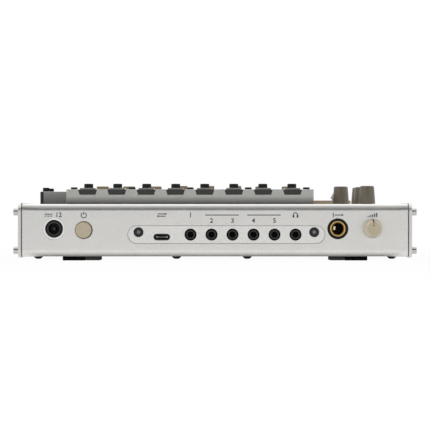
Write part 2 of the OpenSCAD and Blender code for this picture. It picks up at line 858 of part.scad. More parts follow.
// Pill shaped plate in the rear wall's window, with a rim behind the wall
module connector_plate() {
    depth = wall + plate_rim_t;
    head_z = plate_proud - plate_head_sunk - plate_head_h;
    color("#c4c3c0") difference() {
        at_rear(plate_x, z_plate) {
            translate([0, 0, -depth]) linear_extrude(depth + plate_proud) pill(plate_w, plate_h);
            translate([0, 0, -depth]) linear_extrude(plate_rim_t) {
                pill(plate_w + 2 * plate_rim_w, plate_h + 2 * plate_rim_w);
            }
        }
        for (n = [1:jacks]) {
            at_rear(socket(n), z_socket) translate([0, 0, -depth - eps]) {
                cylinder(d = jack_hole_d, h = depth + plate_proud + 2 * eps);
            }
        }
        at_rear(usb_x, z_usb) translate([0, 0, -depth - eps]) linear_extrude(depth + plate_proud + 2 * eps) {
            pill(usb_w + 2 * play, usb_h + 2 * play);
        }
        at_plate_screws() {
            translate([0, 0, head_z]) cylinder(d = plate_head_d + 2 * pass, h = plate_head_h + 2 * eps);
            translate([0, 0, -depth - eps]) cylinder(d = plate_screw_d + 2 * fit, h = depth + plate_proud);
        }
    }
}

// Two dark screws through the connector plate into the nut blocks behind it
module connector_plate_screws() {
    head_z = plate_proud - plate_head_sunk - plate_head_h;
    color("#2a2a29") at_plate_screws() translate([0, 0, head_z]) {
        cap_screw(plate_screw_d, plate_screw_l, plate_head_d, plate_head_h);
    }
}

// Box of a connector that stands on the jack board behind the rear wall
module jack_box(x, y1, w, l, h) {
    translate([x - w / 2, y1 - l, z_jack]) cube([w, l, h]);
}

// Moulded power inlet with a round opening
module dc_jack() {
    color("#1e1e1d") difference() {
        union() {
            jack_box(dc_x, y_wall - fit, dc_d, dc_body_l, dc_up + dc_d / 2);
            at_rear(dc_x, z_dc) translate([0, 0, -wall - dc_body_l / 2]) {
                cylinder(d = dc_d, h = wall + dc_body_l / 2);
            }
        }
        at_rear(dc_x, z_dc) translate([0, 0, -dc_depth]) cylinder(d = dc_bore, h = dc_depth + eps);
    }
}

// Centre pin that stands on the floor of the power inlet
module dc_pin() {
    color("#b8b8b6") at_rear(dc_x, z_dc) translate([0, 0, -dc_depth]) cylinder(d = dc_pin_d, h = dc_pin_l);
}

// Flat data socket: an oval shell with a tongue
module usb_socket() {
    inner = usb_l - usb_wall;
    color("#9c9c9a") at_rear(usb_x, z_usb) translate([0, 0, plate_proud - jack_sunk - usb_l]) {
        difference() {
            linear_extrude(usb_l) pill(usb_w, usb_h);
            translate([0, 0, usb_l - inner]) linear_extrude(inner + eps) {
                pill(usb_w - 2 * usb_wall, usb_h - 2 * usb_wall);
            }
        }
        linear_extrude(usb_wall + usb_tongue_l) square([usb_tongue_w, usb_tongue_t], center = true);
    }
}

// Six small sockets on the jack board with their noses in the connector plate
module minijacks() {
    face = plate_proud - jack_sunk;
    color("#1c1c1c") for (n = [1:jacks]) {
        difference() {
            union() {
                jack_box(socket(n), y_rim - fit, jack_body_w, jack_body_l, jack_body_h);
                at_rear(socket(n), z_socket) translate([0, 0, -wall - plate_rim_t - eps]) {
                    cylinder(d = jack_nose_d, h = wall + plate_rim_t + eps + face);
                }
            }
            at_rear(socket(n), z_socket) translate([0, 0, face - jack_depth]) {
                cylinder(d = jack_bore, h = jack_depth + eps);
            }
        }
    }
}

// Large output socket: moulded body with a seat for the bushing
module output_jack() {
    color("#1e1e1d") difference() {
        union() {
            jack_box(output_x, y_wall - fit, output_body_w, output_body_l, 2 * output_up);
            at_rear(output_x, z_output) translate([0, 0, -wall - eps]) cylinder(d = output_d, h = wall + eps);
        }
        at_rear(output_x, z_output) {
            translate([0, 0, -output_depth]) cylinder(d = output_bore, h = output_depth + eps);
            translate([0, 0, bushing_proud - bushing_l]) cylinder(d = bushing_d + 2 * fit, h = bushing_l);
        }
    }
}

// Gold bushing in the mouth of the output socket
module output_bushing() {
    color("#c9a45a") at_rear(output_x, z_output) translate([0, 0, bushing_proud - bushing_l]) {
        difference() {
            cylinder(d = bushing_d, h = bushing_l);
            translate([0, 0, -eps]) cylinder(d = output_bore, h = bushing_l + 2 * eps);
        }
    }
}

// Push button that stands out of the rear wall, with a collar behind the wall
module power_button() {
    collar_d = power_d + 2 * pass + 2 * power_collar_w;
    color("#b0a58c") at_rear(power_x, z_power) {
        translate([0, 0, -wall - rest_gap - power_collar_t]) {
            cylinder(d = power_d, h = wall + rest_gap + power_collar_t + power_proud);
            cylinder(d = collar_d, h = power_collar_t);
        }
    }
}

// Knob with a tapered side, a pointer groove and a stem below zero
module knob(stem_l, d, top_d) {
    r = d / 2;
    r_top = top_d / 2;
    pointer_start = r_top / 3;
    difference() {
        union() {
            rotate_extrude() polygon([
                [0, 0],
                [r - knob_foot_chamfer, 0],
                [r, knob_foot_chamfer],
                [r, knob_foot_h],
                [r_top, knob_h - knob_chamfer],
                [r_top - knob_chamfer, knob_h],
                [0, knob_h]
            ]);
            translate([0, 0, -stem_l]) cylinder(d = stem_d, h = stem_l + knob_foot_h);
        }
        translate([-pointer_w / 2, pointer_start, knob_h - pointer_depth]) cube([pointer_w, r, knob_h]);
    }
}

// A top knob in place: its stem goes down into the turning control
module top_knob(n) {
    stem_l = knob_gap + wall + pot_gap + pot_bore - play;
    color("#a89d86") translate([knob_at(n)[0], knob_at(n)[1], z_top + knob_gap]) {
        knob(stem_l, knob_d, knob_top_d);
    }
}

module knob_a() {
    top_knob(0);
}

module knob_b() {
    top_knob(1);
}

module knob_c() {
    top_knob(2);
}

module knob_d() {
    top_knob(3);
}

// A slightly larger knob on the rear wall, pointer up
module volume_knob() {
    stem_l = knob_gap + wall + pot_gap + pot_bore - play;
    color("#b5a990") at_rear(volume_x, z_volume) rotate([0, 0, 180]) translate([0, 0, knob_gap]) {
        knob(stem_l, volume_d, volume_top_d);
    }
}

// Bodies of the turning controls: four on the main board, one on the jack board
module rotary_pots() {
    color("#3c4a3c") {
        for (n = [0:len(knob_places) - 1]) {
            translate([knob_at(n)[0], knob_at(n)[1], z_main]) difference() {
                translate([-pot_w / 2, -pot_w / 2, 0]) cube([pot_w, pot_w, pot_h]);
                translate([0, 0, pot_h - pot_bore]) cylinder(d = stem_d + 2 * fit, h = pot_bore + eps);
            }
        }
        difference() {
            jack_box(volume_x, y_wall - pot_gap, pot_w, pot_h, volume_up + pot_w / 2);
            at_rear(volume_x, z_volume) translate([0, 0, -wall - pot_gap - pot_bore]) {
                cylinder(d = stem_d + 2 * fit, h = pot_bore + eps);
            }
        }
    }
}

// Bodies of the eight slide controls with the channels that the blades run in
module slide_pots() {
    body_l = slot_l + 2 * slide_pot_end;
    color("#4a4a4c") for (n = [1:voices]) {
        translate([slider_x(n), slot_y0 + slider_travel / 2, z_main]) difference() {
            translate([-slide_pot_w / 2, -body_l / 2, 0]) cube([slide_pot_w, body_l, slide_pot_h]);
            translate([-slot_w / 2, -slot_l / 2, slide_pot_h - blade_reach - play]) {
                cube([slot_w, slot_l, slide_pot_h]);
            }
        }
    }
}

// Key switches, power switch and toggle body
module switches() {
    button_back = rest_gap + power_collar_t + power_travel + rest_gap;
    switch_h = power_up + power_switch_w / 2;
    color("#343436") {
        for (n = [1:voices]) {
            translate([voice(n) - key_switch_w / 2, control_y - key_switch_w / 2, z_main]) {
                cube([key_switch_w, key_switch_w, key_switch_h]);
            }
        }
        jack_box(power_x, y_wall - button_back, power_switch_w, power_switch_w, switch_h);
        translate([toggle_x, toggle_y, 0]) difference() {
            union() {
                translate([0, 0, z_ceiling - eps]) {
                    cylinder(d = toggle_bushing_d, h = wall + toggle_rim_h + eps);
                }
                translate([-toggle_body_w / 2, -toggle_body_w / 2, z_main]) {
                    cube([toggle_body_w, toggle_body_w, z_ceiling - z_main]);
                }
            }
            translate([0, 0, z_ceiling - toggle_well]) {
                cylinder(d = toggle_bore, h = toggle_well + wall + toggle_rim_h + eps);
            }
            translate([0, 0, z_pivot]) rotate([90, 0, 0]) {
                cylinder(d = lever_pin_d + 2 * fit, h = toggle_bushing_d, center = true);
            }
        }
    }
}

// Toggle lever: grey cap, shaft, ball and cross pin, leaning to the player's left
module toggle_lever() {
    color("#a8a49a") translate([toggle_x, toggle_y, z_pivot]) {
        rotate([0, -toggle_lean, 0]) {
            cylinder(d = lever_d, h = lever_l - lever_cap_l / 2);
            translate([0, 0, lever_l - lever_cap_l]) cylinder(d = lever_cap_d, h = lever_cap_l);
        }
        sphere(d = lever_ball_d);
        rotate([90, 0, 0]) cylinder(d = lever_pin_d, h = toggle_bushing_d - 2 * pass, center = true);
    }
}

// Board with clearance holes for the standoffs' tips
module jack_board() {
    block_y = y_rim - fit;
    color("#2f5a3c") {
        difference() {
            translate([-board_w / 2, y_rear - jack_board_rear - jack_board_d, z_jack - board_t]) {
                cube([board_w, jack_board_d, board_t]);
            }
            at_jack_standoffs() translate([0, 0, z_jack - board_t - eps]) {
                cylinder(d = standoff_tip_d + 2 * fit, h = board_t + 2 * eps);
            }
        }
        for (x = [plate_screw_x0, plate_screw_x1]) {
            difference() {
                jack_box(x, block_y, nut_block, nut_block, nut_block);
                at_rear(x, z_plate_screw) translate([0, 0, -plate_screw_l - wall]) {
                    cylinder(d = plate_screw_d + 2 * fit, h = plate_screw_l + wall);
                }
            }
        }
    }
}

module main_board() {
    y0 = y_front + main_board_front;
    color("#2f5a3c") difference() {
        translate([-board_w / 2, y0, z_main - board_t]) {
            cube([board_w, body_d - main_board_front - main_board_rear, board_t]);
        }
        at_main_standoffs() translate([0, 0, z_main - board_t - eps]) {
            cylinder(d = standoff_tip_d + 2 * fit, h = board_t + 2 * eps);
        }
    }
}

// Outline of a channel, or of a saddle in it, about its floor's middle
module channel_outline(h, gap) {
    slope = (channel_top - channel_floor) / 2 / channel_depth;
    half = channel_floor / 2 - gap;
    polygon([[-half, 0], [half, 0], [half + slope * h, h], [-half - slope * h, h]]);
}

// Pulls a channel outline through the whole depth of the bridge
module through_bridge(n) {
    translate([voice(n), y_bridge, z_channel]) rotate([90, 0, 0]) children();
}

// Grey bar with eight channels across it
module bridge() {
    color("#9a9a98") difference() {
        translate([voice_x - bridge_w / 2, y_bridge_front, z_top]) cube([bridge_w, bridge_d, bridge_h]);
        for (n = [1:voices]) {
            through_bridge(n) translate([0, 0, -eps]) linear_extrude(bridge_d + 2 * eps) {
                channel_outline(channel_depth + eps, 0);
            }
            translate([voice(n), y_clamp, z_clamp - clamp_screw_l]) {
                cylinder(d = top_screw_d + 2 * fit, h = clamp_screw_l);
            }
        }
        at_flat_screws() translate([0, 0, -bridge_h - eps]) {
            cylinder(d = top_screw_d + 2 * fit, h = bridge_h + 2 * eps);
        }
    }
}

// Places of the five flat screws, between the channels
module at_flat_screws() {
    for (n = [0:flat_screws - 1]) {
        translate([voice_x + flat_pitch * (n - (flat_screws - 1) / 2), y_clamp, z_top + bridge_h]) children();
    }
}

// Five flat black screws through the bridge and the top wall
module bridge_screws() {
    shank = bridge_h + wall + top_screw_tip;
    color("#1b1b1b") at_flat_screws() difference() {
        union() {
            cylinder(d = flat_head_d, h = flat_head_h);
            translate([0, 0, -shank]) cylinder(d = top_screw_d, h = shank);
        }
        translate([0, 0, flat_head_h - hex_depth]) {
            cylinder(d = hex_af / cos(30), h = hex_depth + eps, $fn = 6);
        }
    }
}

// Dark saddles that fill the channels under the tongues
module clamp_seats() {
    color("#343432") for (n = [1:voices]) {
        difference() {
            through_bridge(n) linear_extrude(bridge_d) channel_outline(seat_h, fit);
            translate([voice(n), y_clamp, z_channel - eps]) {
                cylinder(d = top_screw_d + 2 * fit, h = seat_h + 2 * eps);
            }
        }
    }
}

// Steel tongue: a wide clamped root with a hole and a narrow free end
module resonator(n) {
    color("#c9c9c7") translate([voice(n), y_bridge_front, z_tongue]) linear_extrude(tongue_t) difference() {
        union() {
            translate([-tongue_root_w / 2, 0]) square([tongue_root_w, bridge_d]);
            translate([-tongue_w / 2, tongue_w / 2 - free_length(n)]) {
                square([tongue_w, free_length(n)]);
            }
            translate([0, tongue_w / 2 - free_length(n)]) circle(tongue_w / 2);
        }
        translate([0, bridge_d - clamp_back]) circle(top_screw_d / 2 + fit);
    }
}

// Black cap screws that clamp the tongues on the bridge
module clamp_screws() {
    color("#1b1b1b") for (n = [1:voices]) {
        translate([voice(n), y_clamp, z_clamp]) {
            cap_screw(top_screw_d, clamp_screw_l, clamp_head_d, clamp_head_h);
        }
    }
}

// Closed magnet housings on the well's floor, with two pole pieces each
module drivers() {
    color("#232325") for (n = [1:voices]) {
        translate([voice(n), deck_y1 - driver_back - driver_l / 2, z_well]) {
            translate([-driver_w / 2, -driver_l / 2, 0]) cube([driver_w, driver_l, driver_h]);
            for (s = [-1, 1]) {
                translate([0, s * driver_l / 4, 0]) cylinder(d = pole_d, h = driver_h + pole_h);
            }
        }
    }
}

// Places of the two deck screws, on the deck's top
module at_deck_screws() {
    for (n = [0, 1]) {
        y = deck_y1 - deck_screw_back - n * deck_screw_pitch;
        translate([deck_x1 - deck_screw_in, y, z_deck]) children();
    }
}

// Dark moulded frame: hollow below, with a well for the tongues and eight slots
module deck() {
    deck_w = deck_x1 - deck_x0;
    color("#3a3a3a") difference() {
        union() {
            difference() {
                translate([deck_x0, deck_y0, z_top]) linear_extrude(deck_h) rounded(deck_w, deck_d, deck_r);
                translate([deck_x0 + deck_t, deck_y0 + deck_t, z_top - eps]) {
                    cube([deck_w - 2 * deck_t, deck_d - 2 * deck_t, deck_h - deck_t + eps]);
                }
            }
            translate([well_x0 - deck_t, well_y0 - deck_t, z_top + well_lift]) {
                cube([well_x1 - well_x0 + 2 * deck_t, well_d + deck_t, deck_h - well_lift]);
            }
            at_deck_screws() translate([0, 0, -deck_h]) cylinder(r = deck_column_r, h = deck_h);
            translate([0, 0, z_ceiling]) linear_extrude(wall + deck_h - deck_t / 2) difference() {
                deck_opening(pass);
                deck_opening(pass + deck_t);
            }
        }
        translate([well_x0, well_y0, z_well]) {
            cube([well_x1 - well_x0, well_d - deck_t, deck_h]);
        }
        translate([well_x0, deck_y1 - deck_t - eps, z_top + sill_h]) {
            cube([well_x1 - well_x0, deck_t + 2 * eps, deck_h]);
        }
        for (n = [1:voices]) {
            translate([slider_x(n) - slot_w / 2, slot_y0 + slider_travel / 2 - slot_l / 2, z_top]) {
                cube([slot_w, slot_l, deck_h + eps]);
            }
        }
        at_deck_screws() translate([0, 0, -deck_h - eps]) {
            cylinder(d = deck_screw_d + 2 * fit, h = deck_h + 2 * eps);
        }
    }
}

// Two black cap screws through the deck and the top wall
module deck_screws() {
    shank = deck_h + wall + top_screw_tip;
    color("#1b1b1b") at_deck_screws() cap_screw(deck_screw_d, shank, deck_head_d, deck_head_h);
}

// Slider: cap with a finger hollow, and a blade down into the slide control
module slider(n) {
    z_cap = z_deck + play;
    cap_h = slider_h - play;
    blade_h = z_cap - (z_slide_pot - blade_reach);
    color("#b0a58c") translate([slider_x(n), slider_y(n), z_cap]) {
        rotate([90, 0, 90]) linear_extrude(slider_w, center = true) difference() {
            translate([-slider_l / 2, 0]) square([slider_l, cap_h]);
            translate([0, cap_h + slider_hollow_r - slider_hollow]) circle(slider_hollow_r);
        }
        translate([-blade_t / 2, -blade_l / 2, -blade_h]) cube([blade_t, blade_l, blade_h]);
    }
}

// Low beige plate on the top wall with eight openings for the keys
module control_plate() {
    color("#84755f") difference() {
        translate([0, control_y, z_top]) linear_extrude(control_h) {
            rounded_mid(control_w, control_d, control_r);
        }
        for (n = [1:voices]) {
            key_cut(n, z_top - eps, control_h + 2 * eps);
        }
    }
}

// Key: cap through the plate and the top wall, with a collar under the wall
module key(n) {
    cap_h = z_control + key_h - z_key_collar;
    color("#a89d86") translate([voice(n), control_y, z_key_collar]) {
        linear_extrude(cap_h) rounded_mid(key_w, key_d, key_r);
        linear_extrude(key_collar_t) {
            rounded_mid(key_w + 2 * key_collar_w, key_d + 2 * key_collar_w, key_r + key_collar_w);
        }
    }
}

chassis_shell();
base_plate();
left_cheek();
right_cheek();
cheek_screws();
base_screws();
foot_shoes();
foot_pads();
connector_plate();
connector_plate_screws();
dc_jack();
dc_pin();
usb_socket();
minijacks();
output_jack();
output_bushing();
power_button();
volume_knob();
jack_board();
main_board();
rotary_pots();
slide_pots();
switches();
bridge();
bridge_screws();
clamp_seats();
clamp_screws();
drivers();
deck();
deck_screws();
control_plate();
knob_a();
knob_b();
knob_c();
knob_d();
toggle_lever();
for (n = [1:voices]) {
    resonator(n);
    slider(n);
    key(n);
}
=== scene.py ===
import json
import math

import bpy
from mathutils import Matrix, Vector

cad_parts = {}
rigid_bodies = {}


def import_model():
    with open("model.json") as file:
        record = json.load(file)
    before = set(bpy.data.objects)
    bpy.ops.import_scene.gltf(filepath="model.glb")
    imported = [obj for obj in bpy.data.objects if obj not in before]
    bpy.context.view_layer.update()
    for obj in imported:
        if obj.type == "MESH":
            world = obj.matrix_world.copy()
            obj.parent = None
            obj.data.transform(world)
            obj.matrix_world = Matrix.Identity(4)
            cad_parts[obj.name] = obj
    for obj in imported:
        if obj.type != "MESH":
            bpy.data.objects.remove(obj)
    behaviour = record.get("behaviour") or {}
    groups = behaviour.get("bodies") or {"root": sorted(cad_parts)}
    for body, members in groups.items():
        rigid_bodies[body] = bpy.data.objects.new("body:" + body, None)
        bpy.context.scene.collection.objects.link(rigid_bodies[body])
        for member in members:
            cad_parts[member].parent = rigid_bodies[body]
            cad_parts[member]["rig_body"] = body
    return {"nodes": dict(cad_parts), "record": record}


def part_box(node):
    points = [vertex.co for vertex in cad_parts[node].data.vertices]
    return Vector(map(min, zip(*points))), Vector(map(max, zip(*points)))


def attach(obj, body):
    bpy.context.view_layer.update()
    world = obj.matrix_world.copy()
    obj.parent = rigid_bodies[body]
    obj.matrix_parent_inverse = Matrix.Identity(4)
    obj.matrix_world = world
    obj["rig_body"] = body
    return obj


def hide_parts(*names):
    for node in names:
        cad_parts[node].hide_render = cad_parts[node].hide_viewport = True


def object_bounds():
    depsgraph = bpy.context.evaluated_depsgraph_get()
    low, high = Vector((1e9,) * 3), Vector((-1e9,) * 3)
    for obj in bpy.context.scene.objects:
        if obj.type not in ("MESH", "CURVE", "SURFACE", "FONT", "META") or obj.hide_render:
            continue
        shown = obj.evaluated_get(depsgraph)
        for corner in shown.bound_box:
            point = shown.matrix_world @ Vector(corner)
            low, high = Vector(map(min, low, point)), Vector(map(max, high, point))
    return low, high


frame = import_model()
cad_low, cad_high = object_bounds()

# Camera
# A long lens square to the rear panel, a little under the top edge, so that the cheeks just converge.
# Its distance and height follow from how the far edges run together in the square photograph. Here and
# below, sizes are in millimetres until MM makes them metres.
MM = 0.001
PHOTO_PX = 430
FOCAL_PX = 2205
HORIZON_PX = 218.2
SENSOR = 36
CAMERA_AWAY = 1260 * MM
CAMERA_HEIGHT = 24.4 * MM

panel_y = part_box("dc_jack")[1].y
bpy.ops.object.camera_add(location=(0, panel_y + CAMERA_AWAY, CAMERA_HEIGHT))
camera = bpy.context.object
camera.name = "rear_camera"
camera.data.sensor_width = SENSOR
camera.data.lens = SENSOR * FOCAL_PX / PHOTO_PX
tilt = math.atan((HORIZON_PX - PHOTO_PX / 2) / FOCAL_PX)
camera.rotation_euler = (math.radians(90) + tilt, 0, math.radians(180))
bpy.context.scene.camera = camera
bpy.context.scene.view_settings.view_transform = "Standard"

# Studio
# A pale table in a white room. Grey flags hang over the lens, so that bent metal shows a dark line under
# its bright top edge, which a shade painted on the wrap's bends deepens. A softbox over the far side lights
# the tops, and a card behind the lens the rear.
AMBIENT = 0.6
FLOOR_SIZE = 60
HAZE_NEAR = 0.96
HAZE_STARTS = 150 * MM
HAZE_WHITE_AT = 500 * MM
SHADE_FULL = 99 * MM
SHADE_GONE = 107 * MM
SHADE_LEAST = 0.1
FLAG_W = 1.7
FLAGS = (
    ("flag_over_lens", (0, 1.1, 0.85), 0.3, 0),
    ("flag_front", (0, 1.25, 0.56), 0.58, 90),
)
LAMPS = (
    ("overhead_softbox", (0.2, -0.9, 1.5), (0, 0, 0), (4.0, 2.6), 13, True),
    ("lens_card", (0.5, 2.4, 0.3), (0, 0.1, 0.02), (2.6, 0.6), 26, False),
)


def linear(code):
    """An sRGB hex colour as linear red, green, blue and alpha."""
    parts = [int(code[k:k + 2], 16) / 255 for k in (1, 3, 5)]
    return [p / 12.92 if p <= 0.04045 else ((p + 0.055) / 1.055) ** 2.4 for p in parts] + [1]


def add(tree, kind, inputs=None, **settings):
    """Adds one node: settings are its own properties, inputs give its sockets a value or a link."""
    made = tree.nodes.new(kind)
    for name, value in settings.items():
        setattr(made, name, value)
    for socket, value in (inputs or {}).items():
        if isinstance(value, bpy.types.NodeSocket):
            tree.links.new(value, made.inputs[socket])
        else:
            made.inputs[socket].default_value = value
    return made


def seen_directly(tree):
    """A socket that is 1 for camera, mirror and glass rays, and 0 for the light that falls on things."""
    ray = add(tree, "ShaderNodeLightPath")
    mirror = add(tree, "ShaderNodeMath", {0: ray.outputs["Is Camera Ray"], 1: ray.outputs["Is Glossy Ray"]},
                 operation="MAXIMUM")
    glass = add(tree, "ShaderNodeMath", {0: mirror.outputs[0], 1: ray.outputs["Is Transmission Ray"]},
                operation="MAXIMUM")
    return glass.outputs[0]


world = bpy.data.worlds.new("white_room")
bpy.context.scene.world = world
world.use_nodes = True
room = world.node_tree
room.nodes.clear()
dim = add(room, "ShaderNodeBackground", {"Color": linear("#ffffff"), "Strength": AMBIENT})
white = add(room, "ShaderNodeBackground", {"Color": linear("#ffffff"), "Strength": 1.0})
either = add(room, "ShaderNodeMixShader", {0: seen_directly(room), 1: dim.outputs[0], 2: white.outputs[0]})
add(room, "ShaderNodeOutputWorld", {"Surface": either.outputs[0]})

# The table is matt white. Seen directly or in metal it is nearly as white as the room, with a little of
# the object's shadow left close by, and metal also shows how dark it is underneath the object.
bpy.ops.mesh.primitive_plane_add(size=FLOOR_SIZE, location=(0, 0, cad_low.z))
table_top = bpy.context.object
table_top.name = "table_top"
table_white = bpy.data.materials.new("white_table")
table_white.use_nodes = True
tree = table_white.node_tree
tree.nodes.clear()
matt = add(tree, "ShaderNodeBsdfDiffuse", {"Color": linear("#f4f4f3")})
glow = add(tree, "ShaderNodeEmission", {"Color": linear("#ffffff"), "Strength": 1.0})
spot = add(tree, "ShaderNodeTexCoord").outputs["Object"]
away = add(tree, "ShaderNodeVectorMath", {0: spot}, operation="LENGTH")
whiter = add(tree, "ShaderNodeMapRange", {"Value": away.outputs["Value"], "From Min": HAZE_STARTS,
                                          "From Max": HAZE_WHITE_AT, "To Min": HAZE_NEAR, "To Max": 1.0})
aside = add(tree, "ShaderNodeVectorMath", {0: spot}, operation="ABSOLUTE")
across = add(tree, "ShaderNodeSeparateXYZ", {0: aside.outputs[0]})
rim = add(tree, "ShaderNodeMath", {0: across.outputs[0], 1: across.outputs[1]}, operation="MAXIMUM")
clear = add(tree, "ShaderNodeMapRange", {"Value": rim.outputs[0], "From Min": SHADE_FULL,
                                         "From Max": SHADE_GONE, "To Min": SHADE_LEAST})
lens = add(tree, "ShaderNodeLightPath").outputs["Is Camera Ray"]
open_floor = add(tree, "ShaderNodeMath", {0: clear.outputs["Result"], 1: lens}, operation="MAXIMUM")
shown = add(tree, "ShaderNodeMath", {0: whiter.outputs["Result"], 1: open_floor.outputs[0]},
            operation="MULTIPLY")
haze = add(tree, "ShaderNodeMath", {0: seen_directly(tree), 1: shown.outputs[0]}, operation="MULTIPLY")
both = add(tree, "ShaderNodeMixShader", {0: haze.outputs[0], 1: matt.outputs[0], 2: glow.outputs[0]})
add(tree, "ShaderNodeOutputMaterial", {"Surface": both.outputs[0]})
table_top.data.materials.append(table_white)

flag_cloth = bpy.data.materials.new("grey_flag_cloth")
flag_cloth.use_nodes = True
flag_cloth.node_tree.nodes["Principled BSDF"].inputs["Base Color"].default_value = linear("#666665")
flag_cloth.node_tree.nodes["Principled BSDF"].inputs["Roughness"].default_value = 1.0
for name, place, height, lean in FLAGS:
    bpy.ops.mesh.primitive_plane_add(size=1, location=place, rotation=(math.radians(lean), 0, 0))
    flag = bpy.context.object
    flag.name = name
    flag.scale = (FLAG_W, height, 1)
    flag.data.materials.append(flag_cloth)
    flag.visible_camera = False

for name, place, aim, size, watts, mirrored in LAMPS:
    bpy.ops.object.light_add(type="AREA", location=place)
    lamp = bpy.context.object
    lamp.name = name
    lamp.data.shape = "RECTANGLE"
    lamp.data.size, lamp.data.size_y = size
    lamp.data.energy = watts
    lamp.visible_glossy = mirrored
    lamp.rotation_euler = (Vector(aim) - Vector(place)).to_track_quat("-Z", "Y").to_euler()

# Aluminium wrap
# One sheet of 2 mm aluminium bent round the top, rear and front, bead blasted and clear anodised. It
# carries everything, its two ends spread a little to meet the cheeks, and the inlet has a spot face.
FLARE = 0.35
FLARE_RUN = 8.5
SPOT_D = 12.4
SPOT_DEPTH = 0.3
SPOT_ROUND = 0.25
SPOT_NEAR = 0.1 * MM
WRAP_EDGE = 0.12
# The bend stops give depths below the top, in bends, and how much tone the painted shade leaves there.
BEND = 4.2
BEND_SHADE_SHARE = 0.55
BEND_SHADE_STOPS = ((0.95, 1), (0.63, BEND_SHADE_SHARE), (0.36, BEND_SHADE_SHARE), (0.08, 1))
WELD = 0.001 * MM
FLAT_ANGLE = 0.2
SHARP_ANGLE = 40
SMOOTH_ANGLE = 32
FACING = 0.9
CLOUD_GRAINS = 14
CLOUD_SHARE = 0.3
MOTTLE_LEAST = 0.3
MOTTLE_MOST = 0.7
RELIEF = 0.1
mounts = {mount["name"]: mount for mount in frame["record"]["mounts"]}


def new_material(name, **values):
    """A material with its Principled sockets set, and its tree, shader and object coordinates."""
    material = bpy.data.materials.new(name)
    material.use_nodes = True
    tree = material.node_tree
    shader = tree.nodes["Principled BSDF"]
    for socket, value in values.items():
        shader.inputs[socket.replace("_", " ")].default_value = value
    place = add(tree, "ShaderNodeTexCoord").outputs["Object"]
    return material, tree, shader, place


def grained(name, dark, light, rough, grain, bump, metallic=0.0, spread=0.06, lay=(1, 1, 1), painted_shade=(),
            **values):
    """A surface with a mottled tone, an uneven gloss and a fine relief. The grain is in millimetres, and
    lay draws it out along an axis, as grinding and brushing do. Painted_shade lists heights, and how much
    of the tone a shade painted by height leaves at each."""
    material, tree, shader, place = new_material(name, Metallic=metallic, **values)
    size = grain * MM
    drawn = add(tree, "ShaderNodeMapping", {"Vector": place, "Scale": [1 / k for k in lay]}).outputs[0]
    fine = add(tree, "ShaderNodeTexNoise", {"Vector": drawn, "Scale": 1 / size, "Detail": 3.0})
    broad = add(tree, "ShaderNodeTexNoise", {"Vector": place, "Scale": 1 / (CLOUD_GRAINS * size),
                                             "Detail": 2.0})
    cloud = add(tree, "ShaderNodeMath", {0: broad.outputs["Fac"], 1: CLOUD_SHARE}, operation="MULTIPLY")
    mottle = add(tree, "ShaderNodeMath", {0: fine.outputs["Fac"], 1: 1 - CLOUD_SHARE, 2: cloud.outputs[0]},
                 operation="MULTIPLY_ADD")
    tone = add(tree, "ShaderNodeMix", {"Factor": mottle.outputs[0], "A": linear(dark), "B": linear(light)},
               data_type="RGBA")
    gloss = add(tree, "ShaderNodeMapRange", {"Value": mottle.outputs[0], "From Min": MOTTLE_LEAST,
                                             "From Max": MOTTLE_MOST, "To Min": rough - spread,
                                             "To Max": rough + spread})
    relief = add(tree, "ShaderNodeBump", {"Height": fine.outputs["Fac"], "Strength": bump,
                                          "Distance": RELIEF * size})
    colour = tone.outputs["Result"]
    # A shade painted by height multiplies the tone.
    if painted_shade:
        lowest, highest = painted_shade[0][0], painted_shade[-1][0]
        height = add(tree, "ShaderNodeSeparateXYZ", {0: place}).outputs["Z"]
        level = add(tree, "ShaderNodeMapRange", {"Value": height, "From Min": lowest, "From Max": highest})
        ramp = add(tree, "ShaderNodeValToRGB", {0: level.outputs["Result"]})
        stops = ramp.color_ramp.elements
        for at, share in painted_shade[1:-1]:
            stops.new((at - lowest) / (highest - lowest))
        for stop, (at, share) in zip(stops, painted_shade):
            stop.color = (share, share, share, 1)
        colour = add(tree, "ShaderNodeMix", {"Factor": 1.0, "A": colour, "B": ramp.outputs["Color"]},
                     data_type="RGBA", blend_type="MULTIPLY").outputs["Result"]
    tree.links.new(colour, shader.inputs["Base Color"])
    tree.links.new(gloss.outputs["Result"], shader.inputs["Roughness"])
    tree.links.new(relief.outputs["Normal"], shader.inputs["Normal"])
    return material


def pick(piece):
    """Makes one object the only selected and active one."""
    bpy.ops.object.select_all(action="DESELECT")
    piece.select_set(True)
    bpy.context.view_layer.objects.active = piece


def edit(piece, part):
    """Opens a piece for editing with all its vertices, edges or faces selected."""
    pick(piece)
    bpy.context.tool_settings.mesh_select_mode = (part == "VERT", part == "EDGE", part == "FACE")
    bpy.ops.object.mode_set(mode="EDIT")
    bpy.ops.mesh.select_all(action="SELECT")


def close():
    """Ends the editing of a piece."""
    bpy.ops.object.mode_set(mode="OBJECT")


def merged(node):
    """A copy of a CAD solid with its loose triangles joined into whole faces."""
    piece = bpy.data.objects.new(node + "_made", frame["nodes"][node].data.copy())
    bpy.context.collection.objects.link(piece)
    pick(piece)
    bpy.ops.mesh.customdata_custom_splitnormals_clear()
    edit(piece, "VERT")
    bpy.ops.mesh.remove_doubles(threshold=WELD)
    bpy.ops.mesh.dissolve_limited(angle_limit=math.radians(FLAT_ANGLE))
    close()
    return piece


def applied(piece, kind, **settings):
    """Adds one modifier with its settings and applies it."""
    pick(piece)
    modifier = piece.modifiers.new(kind.lower(), kind)
    for name, value in settings.items():
        setattr(modifier, name, value)
    bpy.ops.object.modifier_apply(modifier=modifier.name)
    return piece


def smoothed(piece):
    """Smooth shading over gentle bends only."""
    pick(piece)
    bpy.ops.object.shade_smooth_by_angle(angle=math.radians(SMOOTH_ANGLE))
    return piece


def evened(piece):
    """Smooth shading over gentle bends only, with flat faces kept flat."""
    return applied(smoothed(piece), "WEIGHTED_NORMAL", weight=100, keep_sharp=True)


